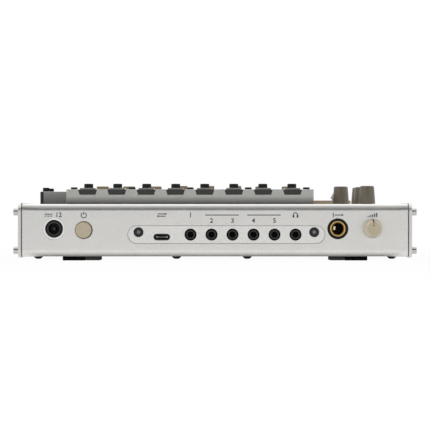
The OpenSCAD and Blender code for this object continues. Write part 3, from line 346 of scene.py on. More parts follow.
def eased(piece, width, segments=2, sharp=SHARP_ANGLE):
    """Breaks the sharp edges of a piece with a small round, in millimetres, and evens its shading."""
    applied(piece, "BEVEL", width=width * MM, segments=segments, limit_method="ANGLE",
            angle_limit=math.radians(sharp), use_clamp_overlap=False)
    return evened(piece)


def softened(piece, width, segments, test):
    """Rounds just those sharp edges of a piece whose middle passes a test, in millimetres."""
    mesh = piece.data
    sides = {}
    for face in mesh.polygons:
        for key in face.edge_keys:
            sides.setdefault(key, []).append(face.normal)
    weight = mesh.attributes.get("bevel_weight_edge")
    if weight is None:
        weight = mesh.attributes.new("bevel_weight_edge", "FLOAT", "EDGE")
    for edge in mesh.edges:
        one, other = sides[edge.key]
        middle = sum((mesh.vertices[k].co for k in edge.vertices), Vector()) / 2
        weight.data[edge.index].value = float(one.angle(other) > math.radians(SHARP_ANGLE) and test(middle))
    applied(piece, "BEVEL", width=width * MM, segments=segments, limit_method="WEIGHT",
            use_clamp_overlap=False)
    return evened(piece)


def stand_in(piece, material, node):
    """Puts a piece in place of a CAD node, on that node's body, with its material."""
    piece.data.materials.clear()
    piece.data.materials.append(material)
    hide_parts(node)
    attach(piece, frame["nodes"][node]["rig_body"])
    return piece


def off_axis(point, axis):
    """How far a point lies from an axis that runs front to rear."""
    return math.hypot(point.x - axis[0], point.z - axis[2])


def inlaid(piece, material, test):
    """Gives a second material to those faces of a piece whose centre and normal pass a test."""
    piece.data.materials.append(material)
    for face in piece.data.polygons:
        if test(face.center, face.normal):
            face.material_index = len(piece.data.materials) - 1


# Blasting leaves a fine even grain, drawn here as coarse as a pixel, that scatters light over a wide lobe.
# A shade is painted along the middle of the bends, where they mirror the dark flags, and a fresh cut is
# the brightest.
wrap_low, wrap_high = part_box("chassis_shell")
# The wrap's tone is darkened by height across its bends: a painted shade.
bend_painted_shade = [(wrap_high.z - depth * BEND * MM, share) for depth, share in BEND_SHADE_STOPS]
wrap_bend_shaded = grained("blasted_aluminium_painted_bend_shade", "#c8c7c4", "#f6f5f2", rough=0.4, grain=0.7, bump=0.25,
                  metallic=1.0, painted_shade=bend_painted_shade)
bright_cut = grained("freshly_cut_aluminium", "#f0efec", "#ffffff", rough=0.45, grain=0.7, bump=0.15,
                     metallic=1.0)
wrap = merged("chassis_shell")
for side in (-1, 1):
    edit(wrap, "VERT")
    bpy.ops.mesh.bisect(plane_co=(side * (wrap_high.x - FLARE_RUN * MM), 0, 0), plane_no=(1, 0, 0))
    close()
edit(wrap, "VERT")
bpy.ops.mesh.select_all(action="DESELECT")
close()
for vertex in wrap.data.vertices:
    vertex.select = abs(vertex.co.x) > wrap_high.x - WELD
wrap_size = wrap_high - wrap_low
bpy.ops.object.mode_set(mode="EDIT")
bpy.ops.transform.resize(value=(1, 1 + 2 * FLARE * MM / wrap_size.y, 1 + 2 * FLARE * MM / wrap_size.z),
                         center_override=(wrap_low + wrap_high) / 2)
close()
inlet_axis = mounts["power_inlet"]["pos_m"]


def on_spot_rim(at):
    """Whether a point lies on the outer rim of the inlet's spot face."""
    return at.y > wrap_high.y - WELD and abs(off_axis(at, inlet_axis) - SPOT_D / 2 * MM) < SPOT_NEAR


def on_spot_face(at, normal):
    """Whether a face of the wrap lies in the floor of the inlet's spot face."""
    depth = (wrap_high.y - at.y) / (SPOT_DEPTH * MM)
    return normal.y > FACING and 0.5 < depth < 1.5 and off_axis(at, inlet_axis) < SPOT_D / 2 * MM


softened(wrap, SPOT_ROUND, 2, on_spot_rim)
stand_in(eased(wrap, WRAP_EDGE), wrap_bend_shaded, "chassis_shell")
inlaid(wrap, bright_cut, on_spot_face)


# Insides
# A zinc plated steel plate on the flanges, two glass fibre boards with solder mask, and the moulded
# bodies of the controls soldered to them. Hardly any of it shows once the wrap is closed.
def paint(material, *nodes):
    """Gives CAD nodes that keep their own shape a material."""
    for node in nodes:
        mesh = frame["nodes"][node].data
        mesh.materials.clear()
        mesh.materials.append(material)


# Zinc plating is dull and slightly cloudy, solder mask is an even green gloss, and the bodies are matt.
zinc = grained("zinc_plated_steel", "#84878a", "#999c9f", rough=0.45, grain=1.6, bump=0.15, metallic=1.0)
mask = grained("solder_mask", "#274d33", "#34633f", rough=0.4, grain=1.2, bump=0.1)
phenolic = grained("moulded_control_body", "#2f3234", "#44484b", rough=0.5, grain=0.7, bump=0.2)
paint(zinc, "base_plate")
paint(mask, "jack_board", "main_board")
paint(phenolic, "rotary_pots", "slide_pots", "switches")

# End cheeks
# Flat plates of milled aluminium that close the wrap's ends and stand a little proud of it all round,
# with a dark seam at the wrap. Eight cap screws hold them.
CHEEK_EDGE = 0.3
RIM_FACING = 0.7

# The faces are blasted to an even grey, and the rims keep the brighter, sharper gloss of the mill.
blasted_face = grained("blasted_cheek_aluminium", "#a9a8a5", "#c0bfbc", rough=0.4, grain=0.7, bump=0.25,
                       metallic=1.0)
milled_rim = grained("milled_cheek_rim", "#d2d1ce", "#e0dfdc", rough=0.36, grain=0.8, bump=0.2, metallic=1.0)
for node in ("left_cheek", "right_cheek"):
    cheek = stand_in(eased(merged(node), CHEEK_EDGE, segments=3), blasted_face, node)
    inlaid(cheek, milled_rim, lambda at, normal: abs(normal.x) < RIM_FACING)

# Cheek screws
# Eight polished cap screws through the cheeks into the tapped corner posts. A lathe turns each one, and
# a punch makes the hexagon socket. Black ones elsewhere have a knurl rolled on the head as well.
END_HEAD_H = 2.9
END_SHANK_D = 2.5
HEX_AF = 2
HEX_DEPTH = 1.3
HEAD_ROUND = 0.12
SHANK_POINT = 0.2
KNURLS = 24
KNURL_DEPTH = 0.07
KNURL_WALL = 0.3 * KNURL_DEPTH
SCREW_TURN = 0.7
UP = Vector((0, 0, 1))


def turned(name, profile, steps=64, sweep=360):
    """A piece turned about Z: profile holds (radius, height) points in millimetres, from end to end."""
    bpy.ops.object.select_all(action="DESELECT")
    bpy.ops.mesh.primitive_plane_add(size=MM)
    piece = bpy.context.object
    piece.name = name
    points = [Vector((r * MM, 0, h * MM)) for r, h in profile]
    edit(piece, "VERT")
    bpy.ops.mesh.merge(type="CENTER")
    bpy.ops.transform.translate(value=points[0])
    for here, there in zip(points, points[1:]):
        bpy.ops.mesh.extrude_region_move(TRANSFORM_OT_translate={"value": there - here})
    bpy.ops.mesh.select_all(action="SELECT")
    bpy.ops.mesh.spin(steps=steps, angle=math.radians(sweep), center=(0, 0, 0), axis=UP)
    bpy.ops.mesh.select_all(action="SELECT")
    bpy.ops.mesh.remove_doubles(threshold=WELD)
    bpy.ops.mesh.normals_make_consistent(inside=False)
    close()
    return piece


def choose(piece, test):
    """Opens a piece for editing with just those faces selected whose centre and normal pass a test."""
    edit(piece, "FACE")
    bpy.ops.mesh.select_all(action="DESELECT")
    close()
    for face in piece.data.polygons:
        face.select = test(face.center, face.normal)
    bpy.ops.object.mode_set(mode="EDIT")


def cut(piece, cutter):
    """Takes a cutter's shape out of a piece, and the cutter away."""
    applied(piece, "BOOLEAN", operation="DIFFERENCE", solver="EXACT", object=cutter)
    bpy.data.objects.remove(cutter)


def punch_hexagon(screw):
    """Sinks the hexagon socket into a screw whose head ends at the origin."""
    bpy.ops.object.select_all(action="DESELECT")
    bpy.ops.mesh.primitive_cylinder_add(vertices=6, radius=HEX_AF / 2 / math.cos(math.pi / 6) * MM,
                                        depth=2 * HEX_DEPTH * MM)
    cut(screw, bpy.context.object)


def cap_screw(name, head_d, head_h, shank_d, length, knurled=True):
    """A cap screw with its head's end at the origin and its shank below, in millimetres."""
    r = head_d / 2
    rim = HEAD_ROUND * r
    shank = shank_d / 2
    point = SHANK_POINT * shank
    screw = turned(name, [(0, -length), (shank - point, -length), (shank, point - length), (shank, -head_h),
                          (r - rim / 2, -head_h), (r, rim / 2 - head_h), (r, -rim), (r - rim, 0), (0, 0)],
                   steps=2 * KNURLS)
    groove = math.tau / (2 * KNURLS)

    def is_knurl(centre, normal):
        around = math.floor(math.atan2(centre.y, centre.x) / groove)
        return around % 2 == 0 and abs(normal.z) < 1 - FACING and centre.z > -head_h * MM

    if knurled:
        choose(screw, is_knurl)
        bpy.ops.mesh.inset(thickness=KNURL_WALL * MM, depth=-KNURL_DEPTH * MM, use_individual=True)
        close()
    punch_hexagon(screw)
    return smoothed(screw)


def solids(node):
    """The lowest and highest corner of each separate solid of a CAD node."""
    piece = merged(node)
    edit(piece, "VERT")
    bpy.ops.mesh.separate(type="LOOSE")
    close()
    boxes = []
    for part in list(bpy.context.selected_objects):
        corners = list(zip(*(vertex.co for vertex in part.data.vertices)))
        boxes.append((Vector(map(min, corners)), Vector(map(max, corners))))
        bpy.data.objects.remove(part)
    return sorted(boxes, key=lambda box: tuple(round(k / MM) for k in box[0]))


def joined(pieces, name):
    """Several pieces made into one, with their places in its mesh."""
    pick(pieces[0])
    for piece in pieces:
        piece.select_set(True)
    if len(pieces) > 1:
        bpy.ops.object.join()
    bpy.ops.object.transform_apply(location=True, rotation=True, scale=True)
    pieces[0].name = name
    return pieces[0]


def copies(model, node, heading):
    """Copies of one modelled fastener where a CAD node has its solids, heads toward heading, each turned
    a little further than the last."""
    made = []
    for low, high in solids(node):
        middle = (low + high) / 2
        way = heading(middle)
        tip = middle + way * abs((high - low).dot(way)) / 2
        turn = UP.rotation_difference(way).to_matrix().to_4x4()
        copy = bpy.data.objects.new(node, model.data.copy())
        copy.data.transform(Matrix.Translation(tip) @ turn @ Matrix.Rotation(SCREW_TURN * len(made), 4, "Z"))
        bpy.context.collection.objects.link(copy)
        made.append(copy)
    bpy.data.objects.remove(model)
    return joined(made, node + "_made")


def cap_screws(node, head_h, shank_d, heading, finish, knurled=True):
    """Cap screws in place of a CAD node: one is modelled to the size of its first solid, and copied."""
    low, high = solids(node)[0]
    size = (high - low) / MM
    way = heading((low + high) / 2)
    length = abs(size.dot(way))
    head_d = next(wide for wide, along in zip(size, way) if not along)
    screw = cap_screw(node + "_model", head_d, head_h, shank_d, length, knurled)
    return stand_in(copies(screw, node, heading), finish, node)


# Polished steel mirrors the room, with hardly any grain left.
polished = grained("polished_steel", "#b4b4b2", "#c6c6c4", rough=0.1, grain=0.8, bump=0.02, metallic=1.0,
                   spread=0.03)
cap_screws("cheek_screws", END_HEAD_H, END_SHANK_D,
           lambda middle: Vector((math.copysign(1, middle.x), 0, 0)), polished, knurled=False)

# Base screws
# Eight black button head screws from below through the flanges into the base plate. Their low domes
# are cold formed, so the surface is smooth, and a dip oxide blackens it.
BASE_HEAD_H = 1.9
BASE_SHANK_D = 3
BASE_EDGE = 0.08
DOME_STEPS = 8

# Black oxide is a thin dark crust with hardly any shine.
black_oxide = grained("black_oxide_steel", "#0b0b0b", "#171717", rough=0.4, grain=0.5, bump=0.1,
                      Specular_IOR_Level=0.25)
base_low, base_high = solids("base_screws")[0]
dome_r = (base_high.x - base_low.x) / 2 / MM
base_length = (base_high.z - base_low.z) / MM
ball = (dome_r ** 2 + BASE_HEAD_H ** 2) / (2 * BASE_HEAD_H)
rings = [dome_r * (1 - k / DOME_STEPS) for k in range(DOME_STEPS + 1)]
base_screw = turned("base_screw", [
    (0, -base_length), (BASE_SHANK_D / 2, -base_length), (BASE_SHANK_D / 2, -BASE_HEAD_H),
] + [(ring, math.sqrt(ball ** 2 - ring ** 2) - ball) for ring in rings])
punch_hexagon(base_screw)
eased(base_screw, BASE_EDGE)
stand_in(copies(base_screw, "base_screws", lambda middle: -UP), black_oxide, "base_screws")

# Feet
# Shoes of dark grey plastic glued under the flanges, each holding a pad of black rubber. Both are moulded,
# with rounded edges.
SHOE_EDGE = 0.25
PAD_EDGE = 0.45

# The plastic has a fine spark grain, and the rubber is dull and swallows light.
shoe_plastic = grained("shoe_plastic", "#333332", "#40403e", rough=0.55, grain=0.5, bump=0.25,
                       Specular_IOR_Level=0.3)
pad_rubber = grained("pad_rubber", "#070707", "#101010", rough=0.8, grain=0.5, bump=0.4,
                     Specular_IOR_Level=0.15)
stand_in(eased(merged("foot_shoes"), SHOE_EDGE), shoe_plastic, "foot_shoes")
stand_in(eased(merged("foot_pads"), PAD_EDGE, segments=3), pad_rubber, "foot_pads")

# Connector plate
# A pill shaped plate of the same blasted sheet, set in a window of the rear wall and a little proud of it.
# Two black cap screws, sunk in its face, pull it against the nut blocks and the window's upper edge.
PLATE_EDGE = 0.04
PLATE_LIFT = 0.04
PLATE_HEAD_H = 1.6
PLATE_SHANK_D = 2.5
SOCKET_REACH = 0.6 * HEX_AF * MM
REAR = Vector((0, 1, 0))

# The plate is a shade lighter than the wrap. The screws shine a little, and their socket floors are painted
# bright bare steel as a highlight.
plate_blasted = grained("blasted_plate_aluminium", "#cfcecb", "#fbfaf7", rough=0.4, grain=0.7, bump=0.25,
                        metallic=1.0)
plate_steel = grained("blackened_plate_steel", "#101010", "#1e1e1d", rough=0.3, grain=0.4, bump=0.1,
                      Specular_IOR_Level=0.35)
socket_highlight_steel = grained("painted_highlight_socket_steel", "#70777a", "#878e91", rough=0.35, grain=0.4, bump=0.1, metallic=1.0)
plate = stand_in(eased(merged("connector_plate"), PLATE_EDGE), plate_blasted, "connector_plate")
plate.data.transform(Matrix.Translation((0, 0, PLATE_LIFT * MM)))
plate_screws = cap_screws("connector_plate_screws", PLATE_HEAD_H, PLATE_SHANK_D, lambda middle: REAR,
                          plate_steel)
plate_screw_axes = [(low + high) / 2 for low, high in solids("connector_plate_screws")]
head_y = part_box("connector_plate_screws")[1].y
# The socket floors get bright steel: a painted highlight.
inlaid(plate_screws, socket_highlight_steel, lambda at, normal: head_y - 2 * HEX_DEPTH * MM < at.y < head_y - WELD
       and min(off_axis(at, axis) for axis in plate_screw_axes) < SOCKET_REACH)

# Small sockets and power inlet
# Moulded in black plastic and soldered to the jack board, with their noses in the plate and the wall. Each
# mouth has a rounded lead-in, and the inlet's pin is a drawn tube, dark inside.
NOSE_ROUND = 0.3
LEAD_IN = 0.55
LEAD_LEAST = 0.1
LEAD_MOST = 0.98
INLET_R = 3.2
PIN_BORE = 0.9
PIN_LIP = 0.2

# Matt black plastic swallows nearly all light, the lead-ins are painted a shade greyer as a highlight, and
# the nickel keeps a soft dark gloss.
black_plastic = grained("black_moulded_plastic", "#0b0b0b", "#151515", rough=0.45, grain=0.5, bump=0.2,
                        Specular_IOR_Level=0.25)
lead_in_highlight_plastic = grained("painted_highlight_lead_in", "#2c2c2b", "#3a3a39", rough=0.4, grain=0.4, bump=0.2)
dark_nickel = grained("dark_nickel", "#3c3c3b", "#4b4b4a", rough=0.3, grain=0.5, bump=0.08, metallic=1.0)
jack_axes = [mount["pos_m"] for name, mount in mounts.items() if name.startswith("small_socket")]
jack_r = mounts["small_socket_1"]["dims"]["r_mm"]
for node, axes, bore in (("minijacks", jack_axes, jack_r * MM), ("dc_jack", [inlet_axis], INLET_R * MM)):
    face_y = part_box(node)[1].y
    sockets = merged(node)
    for mouth, width in ((True, LEAD_IN), (False, NOSE_ROUND)):
        softened(sockets, width, 3, lambda at: at.y > face_y - WELD
                 and (min(off_axis(at, axis) for axis in axes) < bore + WELD) == mouth)
    stand_in(sockets, black_plastic, node)
    # The lead-ins are painted greyer as a highlight.
    inlaid(sockets, lead_in_highlight_plastic, lambda at, normal: LEAD_LEAST < normal.y < LEAD_MOST
           and min(off_axis(at, axis) for axis in axes) < bore + LEAD_IN * MM)
pin_low, pin_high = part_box("dc_pin")
pin_middle = (pin_low + pin_high) / 2
pin_r = (pin_high.x - pin_low.x) / 2 / MM
pin_l = (pin_high.y - pin_low.y) / MM
pin = turned("dc_pin_made", [(0, -pin_l), (pin_r, -pin_l), (pin_r, -PIN_LIP), (pin_r - PIN_LIP, 0),
                             (PIN_BORE / 2, 0), (PIN_BORE / 2, -pin_l / 2), (0, -pin_l / 2)], steps=32)
outward = UP.rotation_difference(REAR).to_matrix().to_4x4()
pin.data.transform(Matrix.Translation((pin_middle.x, pin_high.y, pin_middle.z)) @ outward)
stand_in(smoothed(pin), dark_nickel, "dc_pin")

# Data socket
# A drawn steel shell, nickel plated, round a thin tongue of plastic with its contacts on both faces.
# It is soldered to the jack board.
TONGUE_W = 6.7
TONGUE_TIP = 0.9
MOUTH_FLOOR = 2

# The mouth is painted black, partly its plastic back and partly painted shade on the shell's metal inside.
# The tongue's end is painted grey as a highlight, and its corners pale as a painted reflection of the shell.
tongue_end_highlight = grained("painted_highlight_tongue_end", "#5a5a58", "#6e6e6b", rough=0.4, grain=0.4, bump=0.1)
tongue_corner_reflection = grained("painted_reflection_tongue_corners", "#c4c4c1", "#dcdcd8", rough=0.35, grain=0.4, bump=0.1)
data_low, data_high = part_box("usb_socket")
data_middle = (data_low + data_high) / 2
tip_from = TONGUE_W / 2 - TONGUE_TIP
data = merged("usb_socket")
for side in (-1, 1):
    edit(data, "VERT")
    bpy.ops.mesh.bisect(plane_co=(data_middle.x + side * tip_from * MM, 0, 0), plane_no=(1, 0, 0))
    close()
stand_in(evened(data), dark_nickel, "usb_socket")
# The shell's inside is painted black: plastic at the back, painted shade on the metal walls.
inlaid(data, black_plastic, lambda at, normal: at.y < data_high.y - WELD)
floor_y = data_low.y + MOUTH_FLOOR * MM
# The tongue's end is a painted highlight, and its corners a painted reflection.
for finish, near, far in ((tongue_end_highlight, 0, tip_from), (tongue_corner_reflection, tip_from, TONGUE_W / 2)):
    inlaid(data, finish, lambda at, normal: normal.y > FACING and floor_y < at.y < data_high.y - WELD
           and near * MM <= abs(at.x - data_middle.x) < far * MM)

# Output socket
# A large moulded socket with a gold plated brass bushing pressed into its mouth, and the sprung contact
# that shows as a glint in the dark bore.
JACK_EDGE = 0.3
BUSHING_ROUND = 0.5
BUSHING_MOUTH = 7.5
BUSHING_STEPS = 10
OUTPUT_BORE = 6.6
LEAF_W = 2.0
LEAF_T = 0.25
LEAF_ANGLE = -10
LEAF_PATH = [(3.2, -5.6), (3.1, -3.6), (2.7, -2.3), (1.9, -1.8), (1.0, -2.6), (0.6, -3.8)]

# Gold plating has a warm even gloss, and the bright nickel of the spring mirrors the room.
gold = grained("gold_plated_brass", "#d8b76c", "#ead090", rough=0.2, grain=0.7, bump=0.08, metallic=1.0)
bright_nickel = grained("bright_nickel_spring", "#c9c9c6", "#dcdcd9", rough=0.2, grain=0.5, bump=0.05,
                        metallic=1.0)
stand_in(eased(merged("output_jack"), JACK_EDGE, segments=3), black_plastic, "output_jack")
bush_low, bush_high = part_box("output_bushing")
bush_middle = (bush_low + bush_high) / 2
bush_r = (bush_high.x - bush_low.x) / 2 / MM
bush_l = (bush_high.y - bush_low.y) / MM
ring_middle = (bush_r + BUSHING_MOUTH / 2) / 2
ring_arc = [math.pi * k / BUSHING_STEPS for k in range(BUSHING_STEPS + 1)]
bushing = turned("output_bushing_made", [(OUTPUT_BORE / 2, -bush_l), (bush_r, -bush_l)] + [
    (ring_middle + (bush_r - ring_middle) * math.cos(a), BUSHING_ROUND * (math.sin(a) - 1)) for a in ring_arc
] + [(OUTPUT_BORE / 2, -2 * BUSHING_ROUND), (OUTPUT_BORE / 2, -bush_l)], steps=96)
socket_mouth = Matrix.Translation((bush_middle.x, bush_high.y, bush_middle.z)) @ outward
bushing.data.transform(socket_mouth)
stand_in(evened(bushing), gold, "output_bushing")

bpy.ops.object.select_all(action="DESELECT")
bpy.ops.mesh.primitive_plane_add(size=LEAF_W * MM)
leaf = bpy.context.object
leaf.name = "output_contact"
edit(leaf, "VERT")
bpy.ops.transform.resize(value=(0, 1, 1))
bpy.ops.mesh.remove_doubles(threshold=WELD)
leaf_points = [Vector((r * MM, 0, h * MM)) for r, h in LEAF_PATH]
bpy.ops.transform.translate(value=leaf_points[0])
for here, there in zip(leaf_points, leaf_points[1:]):
    bpy.ops.mesh.extrude_region_move(TRANSFORM_OT_translate={"value": there - here})
close()
applied(leaf, "SUBSURF", levels=2, render_levels=2)
applied(leaf, "SOLIDIFY", thickness=LEAF_T * MM, offset=0)
leaf.data.transform(socket_mouth @ Matrix.Rotation(math.radians(LEAF_ANGLE), 4, "Z"))
smoothed(leaf).data.materials.append(bright_nickel)
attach(leaf, frame["nodes"]["output_jack"]["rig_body"])

# Power button
# A push button moulded in beige plastic, with a rounded rim and a shallow dish for the fingertip. It slides
# in the wall's bore with some play, and a collar behind the wall keeps it from falling out.
BUTTON_D = 9.2
BUTTON_PLAY = 0.12
BUTTON_DISH = 0.3
BUTTON_RIM = 0.6
COLLAR_T = 1
DISH_STEPS = 6


def dish(r, depth, top=0.0):
    """Points of a shallow dish of a radius and a depth, from its middle out to its rim."""
    return [(r * k / DISH_STEPS, top - depth * (1 - (k / DISH_STEPS) ** 2)) for k in range(DISH_STEPS + 1)]


# Moulded plastic has a spark eroded grain of a few tenths, which takes the gloss off the beige.
beige = grained("beige_moulded_plastic", "#b0a48c", "#c0b49c", rough=0.4, grain=0.45, bump=0.2)
button_low, button_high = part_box("power_button")
button_middle = (button_low + button_high) / 2
collar_r = (button_high.x - button_low.x) / 2 / MM
button_l = (button_high.y - button_low.y) / MM
button = turned("power_button_made", dish(BUTTON_D / 2 - BUTTON_RIM, BUTTON_DISH) + [
    (BUTTON_D / 2, 0), (BUTTON_D / 2, COLLAR_T - button_l), (collar_r, COLLAR_T - button_l),
    (collar_r, -button_l), (0, -button_l)])
button_place = Vector((button_middle.x + BUTTON_PLAY * MM, button_high.y, button_middle.z))
button.data.transform(Matrix.Translation(button_place) @ outward)
stand_in(eased(button, BUTTON_RIM, segments=4), beige, "power_button")

# Bridge
# A bar of grey anodised aluminium, milled with eight channels, on the top wall. Five flat black screws
# hold it down, between the channels.
BRIDGE_EDGE = 0.3
BRIDGE_SHADE_H = 4.6
BRIDGE_FOOT_SHADE = 0.22
FLAT_HEAD_H = 1.3
FLAT_SHANK_D = 3
FLAT_EDGE = 0.2

# The anodising is grey, with a shade painted darker toward the foot of the bar, and the blasted grain shows.
bridge_grey_foot_shade = grained("grey_anodised_aluminium_painted_foot_shade", "#a4a4a1", "#d4d4d0", rough=0.44, grain=0.7, bump=0.25,
                      metallic=1.0, painted_shade=[(wrap_high.z, BRIDGE_FOOT_SHADE), (wrap_high.z + BRIDGE_SHADE_H * MM, 1)])
stand_in(eased(merged("bridge"), BRIDGE_EDGE, segments=3), bridge_grey_foot_shade, "bridge")
flat_low, flat_high = solids("bridge_screws")[0]
flat_r = (flat_high.x - flat_low.x) / 2 / MM
flat_l = (flat_high.z - flat_low.z) / MM
flat_screw = turned("bridge_screw", [
    (0, -flat_l), (FLAT_SHANK_D / 2, -flat_l), (FLAT_SHANK_D / 2, -FLAT_HEAD_H), (flat_r, -FLAT_HEAD_H),
    (flat_r, 0), (0, 0)])
eased(flat_screw, FLAT_EDGE, segments=3)
punch_hexagon(flat_screw)
stand_in(copies(flat_screw, "bridge_screws", lambda middle: UP), black_oxide, "bridge_screws")

# Tongues
# Eight strips of spring steel of eight lengths, sheared to length and ground flat. Each lies on a dark
# moulded saddle in its channel and is clamped by a black cap screw.
SADDLE_EDGE = 0.2
TONGUE_EDGE = 0.12
TONGUE_END = 0.5
GRIND_LAY = (1, 30, 1)
CLAMP_HEAD_H = 2.6
CLAMP_SHANK_D = 3
VOICES = 8

# Grinding leaves fine lines along each strip, and the sheared ends are dull and darker.
saddle = grained("saddle_plastic", "#272725", "#343432", rough=0.5, grain=0.5, bump=0.2)
spring_steel = grained("ground_spring_steel", "#c4c4c2", "#dadad7", rough=0.26, grain=0.3, bump=0.1,
                       metallic=1.0, lay=GRIND_LAY)
sheared_steel = grained("sheared_spring_steel", "#7c7c7a", "#90908d", rough=0.5, grain=0.3, bump=0.3,
                        metallic=1.0)
stand_in(eased(merged("clamp_seats"), SADDLE_EDGE), saddle, "clamp_seats")
for n in range(1, VOICES + 1):
    tongue = stand_in(eased(merged(f"resonator_{n}"), TONGUE_EDGE), spring_steel, f"resonator_{n}")
    inlaid(tongue, sheared_steel, lambda at, normal: abs(normal.y) > TONGUE_END)
cap_screws("clamp_screws", CLAMP_HEAD_H, CLAMP_SHANK_D, lambda middle: UP, black_oxide)

# Deck
# A raised frame of dark anodised aluminium with the well for the tongues and eight slider slots. Two
# black cap screws hold its right edge, and eight closed magnet housings stand in the well.
DECK_ROUND = 0.5
DECK_FOOT_SHADE = 0.5
DECK_SHADE_FACING = 0.2
DECK_SHADE_W = 4
DECK_HEAD_H = 2.4
DECK_SHANK_D = 2.5
HOUSING_EDGE = 0.3

# The dye is dark grey, with a shade painted darker toward the foot, and the rounded right end is painted
# near black as a painted reflection of dark surroundings.
deck_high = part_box("deck")[1]
deck_dark_foot_shade = grained("dark_anodised_aluminium_painted_foot_shade", "#8f8f8d", "#b0b0ad", rough=0.44, grain=0.7, bump=0.25,
                    metallic=1.0, painted_shade=[(wrap_high.z, DECK_FOOT_SHADE), (deck_high.z, 1)])
deck_end_shade = grained("painted_shade_deck_end", "#2b2b2a", "#3d3d3c", rough=0.44, grain=0.7, bump=0.25,
                    metallic=1.0)
hold_boxes = solids("deck_screws")
deck = softened(merged("deck"), DECK_ROUND, 3, lambda at: at.z > deck_high.z - WELD and all(
    (at - (low + high) / 2).xy.length > high.x - low.x for low, high in hold_boxes))
stand_in(deck, deck_dark_foot_shade, "deck")
# The rounded right end is painted near black: a painted dark reflection.
inlaid(deck, deck_end_shade, lambda at, normal: normal.x > DECK_SHADE_FACING and at.x > deck_high.x - DECK_SHADE_W * MM)
stand_in(eased(merged("drivers"), HOUSING_EDGE), black_plastic, "drivers")
cap_screws("deck_screws", DECK_HEAD_H, DECK_SHANK_D, lambda middle: UP, black_oxide)

# Sliders, control plate and keys
# Moulded in tan and beige: eight slider caps with a finger hollow, and a low plate with eight keys along
# the front edge. The keys stand through the plate on their switches, and the caps ride on their levers.
CONTROL_EDGE = 0.4
CAP_EDGE = 0.5
KEY_EDGE = 0.45

# The plate's grain is the coarsest and the most matt, and the caps are polished a little by fingers.
control_tan = grained("tan_plate_plastic", "#a3907a", "#b3a08a", rough=0.5, grain=0.5, bump=0.25)
slider_tan = grained("tan_cap_plastic", "#84735a", "#93826a", rough=0.45, grain=0.45, bump=0.2)
stand_in(eased(merged("control_plate"), CONTROL_EDGE, segments=3), control_tan, "control_plate")
for n in range(1, VOICES + 1):
    stand_in(eased(merged(f"slider_{n}"), CAP_EDGE, segments=3), slider_tan, f"slider_{n}")
    stand_in(eased(merged(f"key_{n}"), KEY_EDGE, segments=3), beige, f"key_{n}")

# Knobs
# Tapered knobs moulded in taupe on the top and in beige at the rear, each with a dished top and a moulded
# groove that points to the setting. Their stems go down into the turning controls.
KNOBS = ("knob_a", "knob_b", "knob_c", "knob_d")
KNOB_D = 9.8
KNOB_TOP_D = 8.4
VOLUME_D = 11
VOLUME_TOP_D = 8.3
KNOB_H = 10.7
KNOB_FOOT_H = 1.2
KNOB_RIM = 0.5
KNOB_EDGE = 0.25
KNOB_SHARP_ANGLE = 20
KNOB_DISH = 0.35
STEM_D = 6
POINTER_W = 0.8
POINTER_DEPTH = 0.7
POINTER_FROM = 0.6
DOT_AT = 0.43
DOT_D = 0.8
PAINTED = 0.7
STEEP = 0.7
TOP_FACING = 0.8
CUT_ASIDE = 0.6
CUT_FROM = 0.2
CUT_TO = 0.9
SUNK = 0.2


def knob(node, foot_d, top_d, stem_l, side_groove=False):
    """A knob about Z standing on zero, with its stem below and its pointer toward +Y, in millimetres."""
    r = foot_d / 2
    r_top = top_d / 2
    piece = turned(node + "_made", dish(r_top - 2 * KNOB_RIM, KNOB_DISH, KNOB_H) + [
        (r_top - KNOB_RIM, KNOB_H), (r_top, KNOB_H - KNOB_RIM), (r, KNOB_FOOT_H), (r, 0), (STEM_D / 2, 0),
        (STEM_D / 2, -stem_l), (0, -stem_l)])
    eased(piece, KNOB_EDGE, segments=3, sharp=KNOB_SHARP_ANGLE)
    pointer_at = (0, (1 + POINTER_FROM) / 2 * r_top, KNOB_H)
    grooves = [(pointer_at, ((1 - POINTER_FROM) * r_top, 2 * POINTER_DEPTH), 0)]
    if side_groove:
        slant = math.atan2(r - r_top, KNOB_H - KNOB_FOOT_H)
        grooves.append(((0, (r + r_top) / 2, KNOB_H / 2), (2 * POINTER_DEPTH, 2 * KNOB_H), slant))
    for place, (depth, height), lean in grooves:
        bpy.ops.object.select_all(action="DESELECT")
        bpy.ops.mesh.primitive_cube_add(size=MM, location=Vector(place) * MM, rotation=(lean, 0, 0))
        groove = bpy.context.object
        groove.scale = (POINTER_W, depth, height)
        bpy.ops.object.transform_apply(location=True, rotation=True, scale=True)
        cut(piece, groove)
    bpy.ops.object.select_all(action="DESELECT")
    bpy.ops.mesh.primitive_cylinder_add(vertices=16, radius=DOT_D / 2 * MM, depth=2 * POINTER_DEPTH * MM,
                                        location=(0, DOT_AT * r_top * MM, KNOB_H * MM))
    cut(piece, bpy.context.object)
    return smoothed(piece)


def in_pointer(at, normal, foot_d, top_d):
    """Whether a face of a knob about Z lies in its pointer or its dot."""
    x, y, z = at / MM
    r_top = top_d / 2
    side = r_top + (foot_d - top_d) / 2 * (KNOB_H - z) / (KNOB_H - KNOB_FOOT_H)
    near = abs(x) < CUT_ASIDE * POINTER_W and y > CUT_FROM * r_top and z > 0
    steep = max(abs(normal.x), abs(normal.y)) > STEEP
    wall = steep and z > KNOB_H - POINTER_DEPTH and y < CUT_TO * r_top
    sunk = side - y > SUNK and z < KNOB_H - KNOB_DISH
    return near and (abs(normal.x) > FACING or wall or sunk)


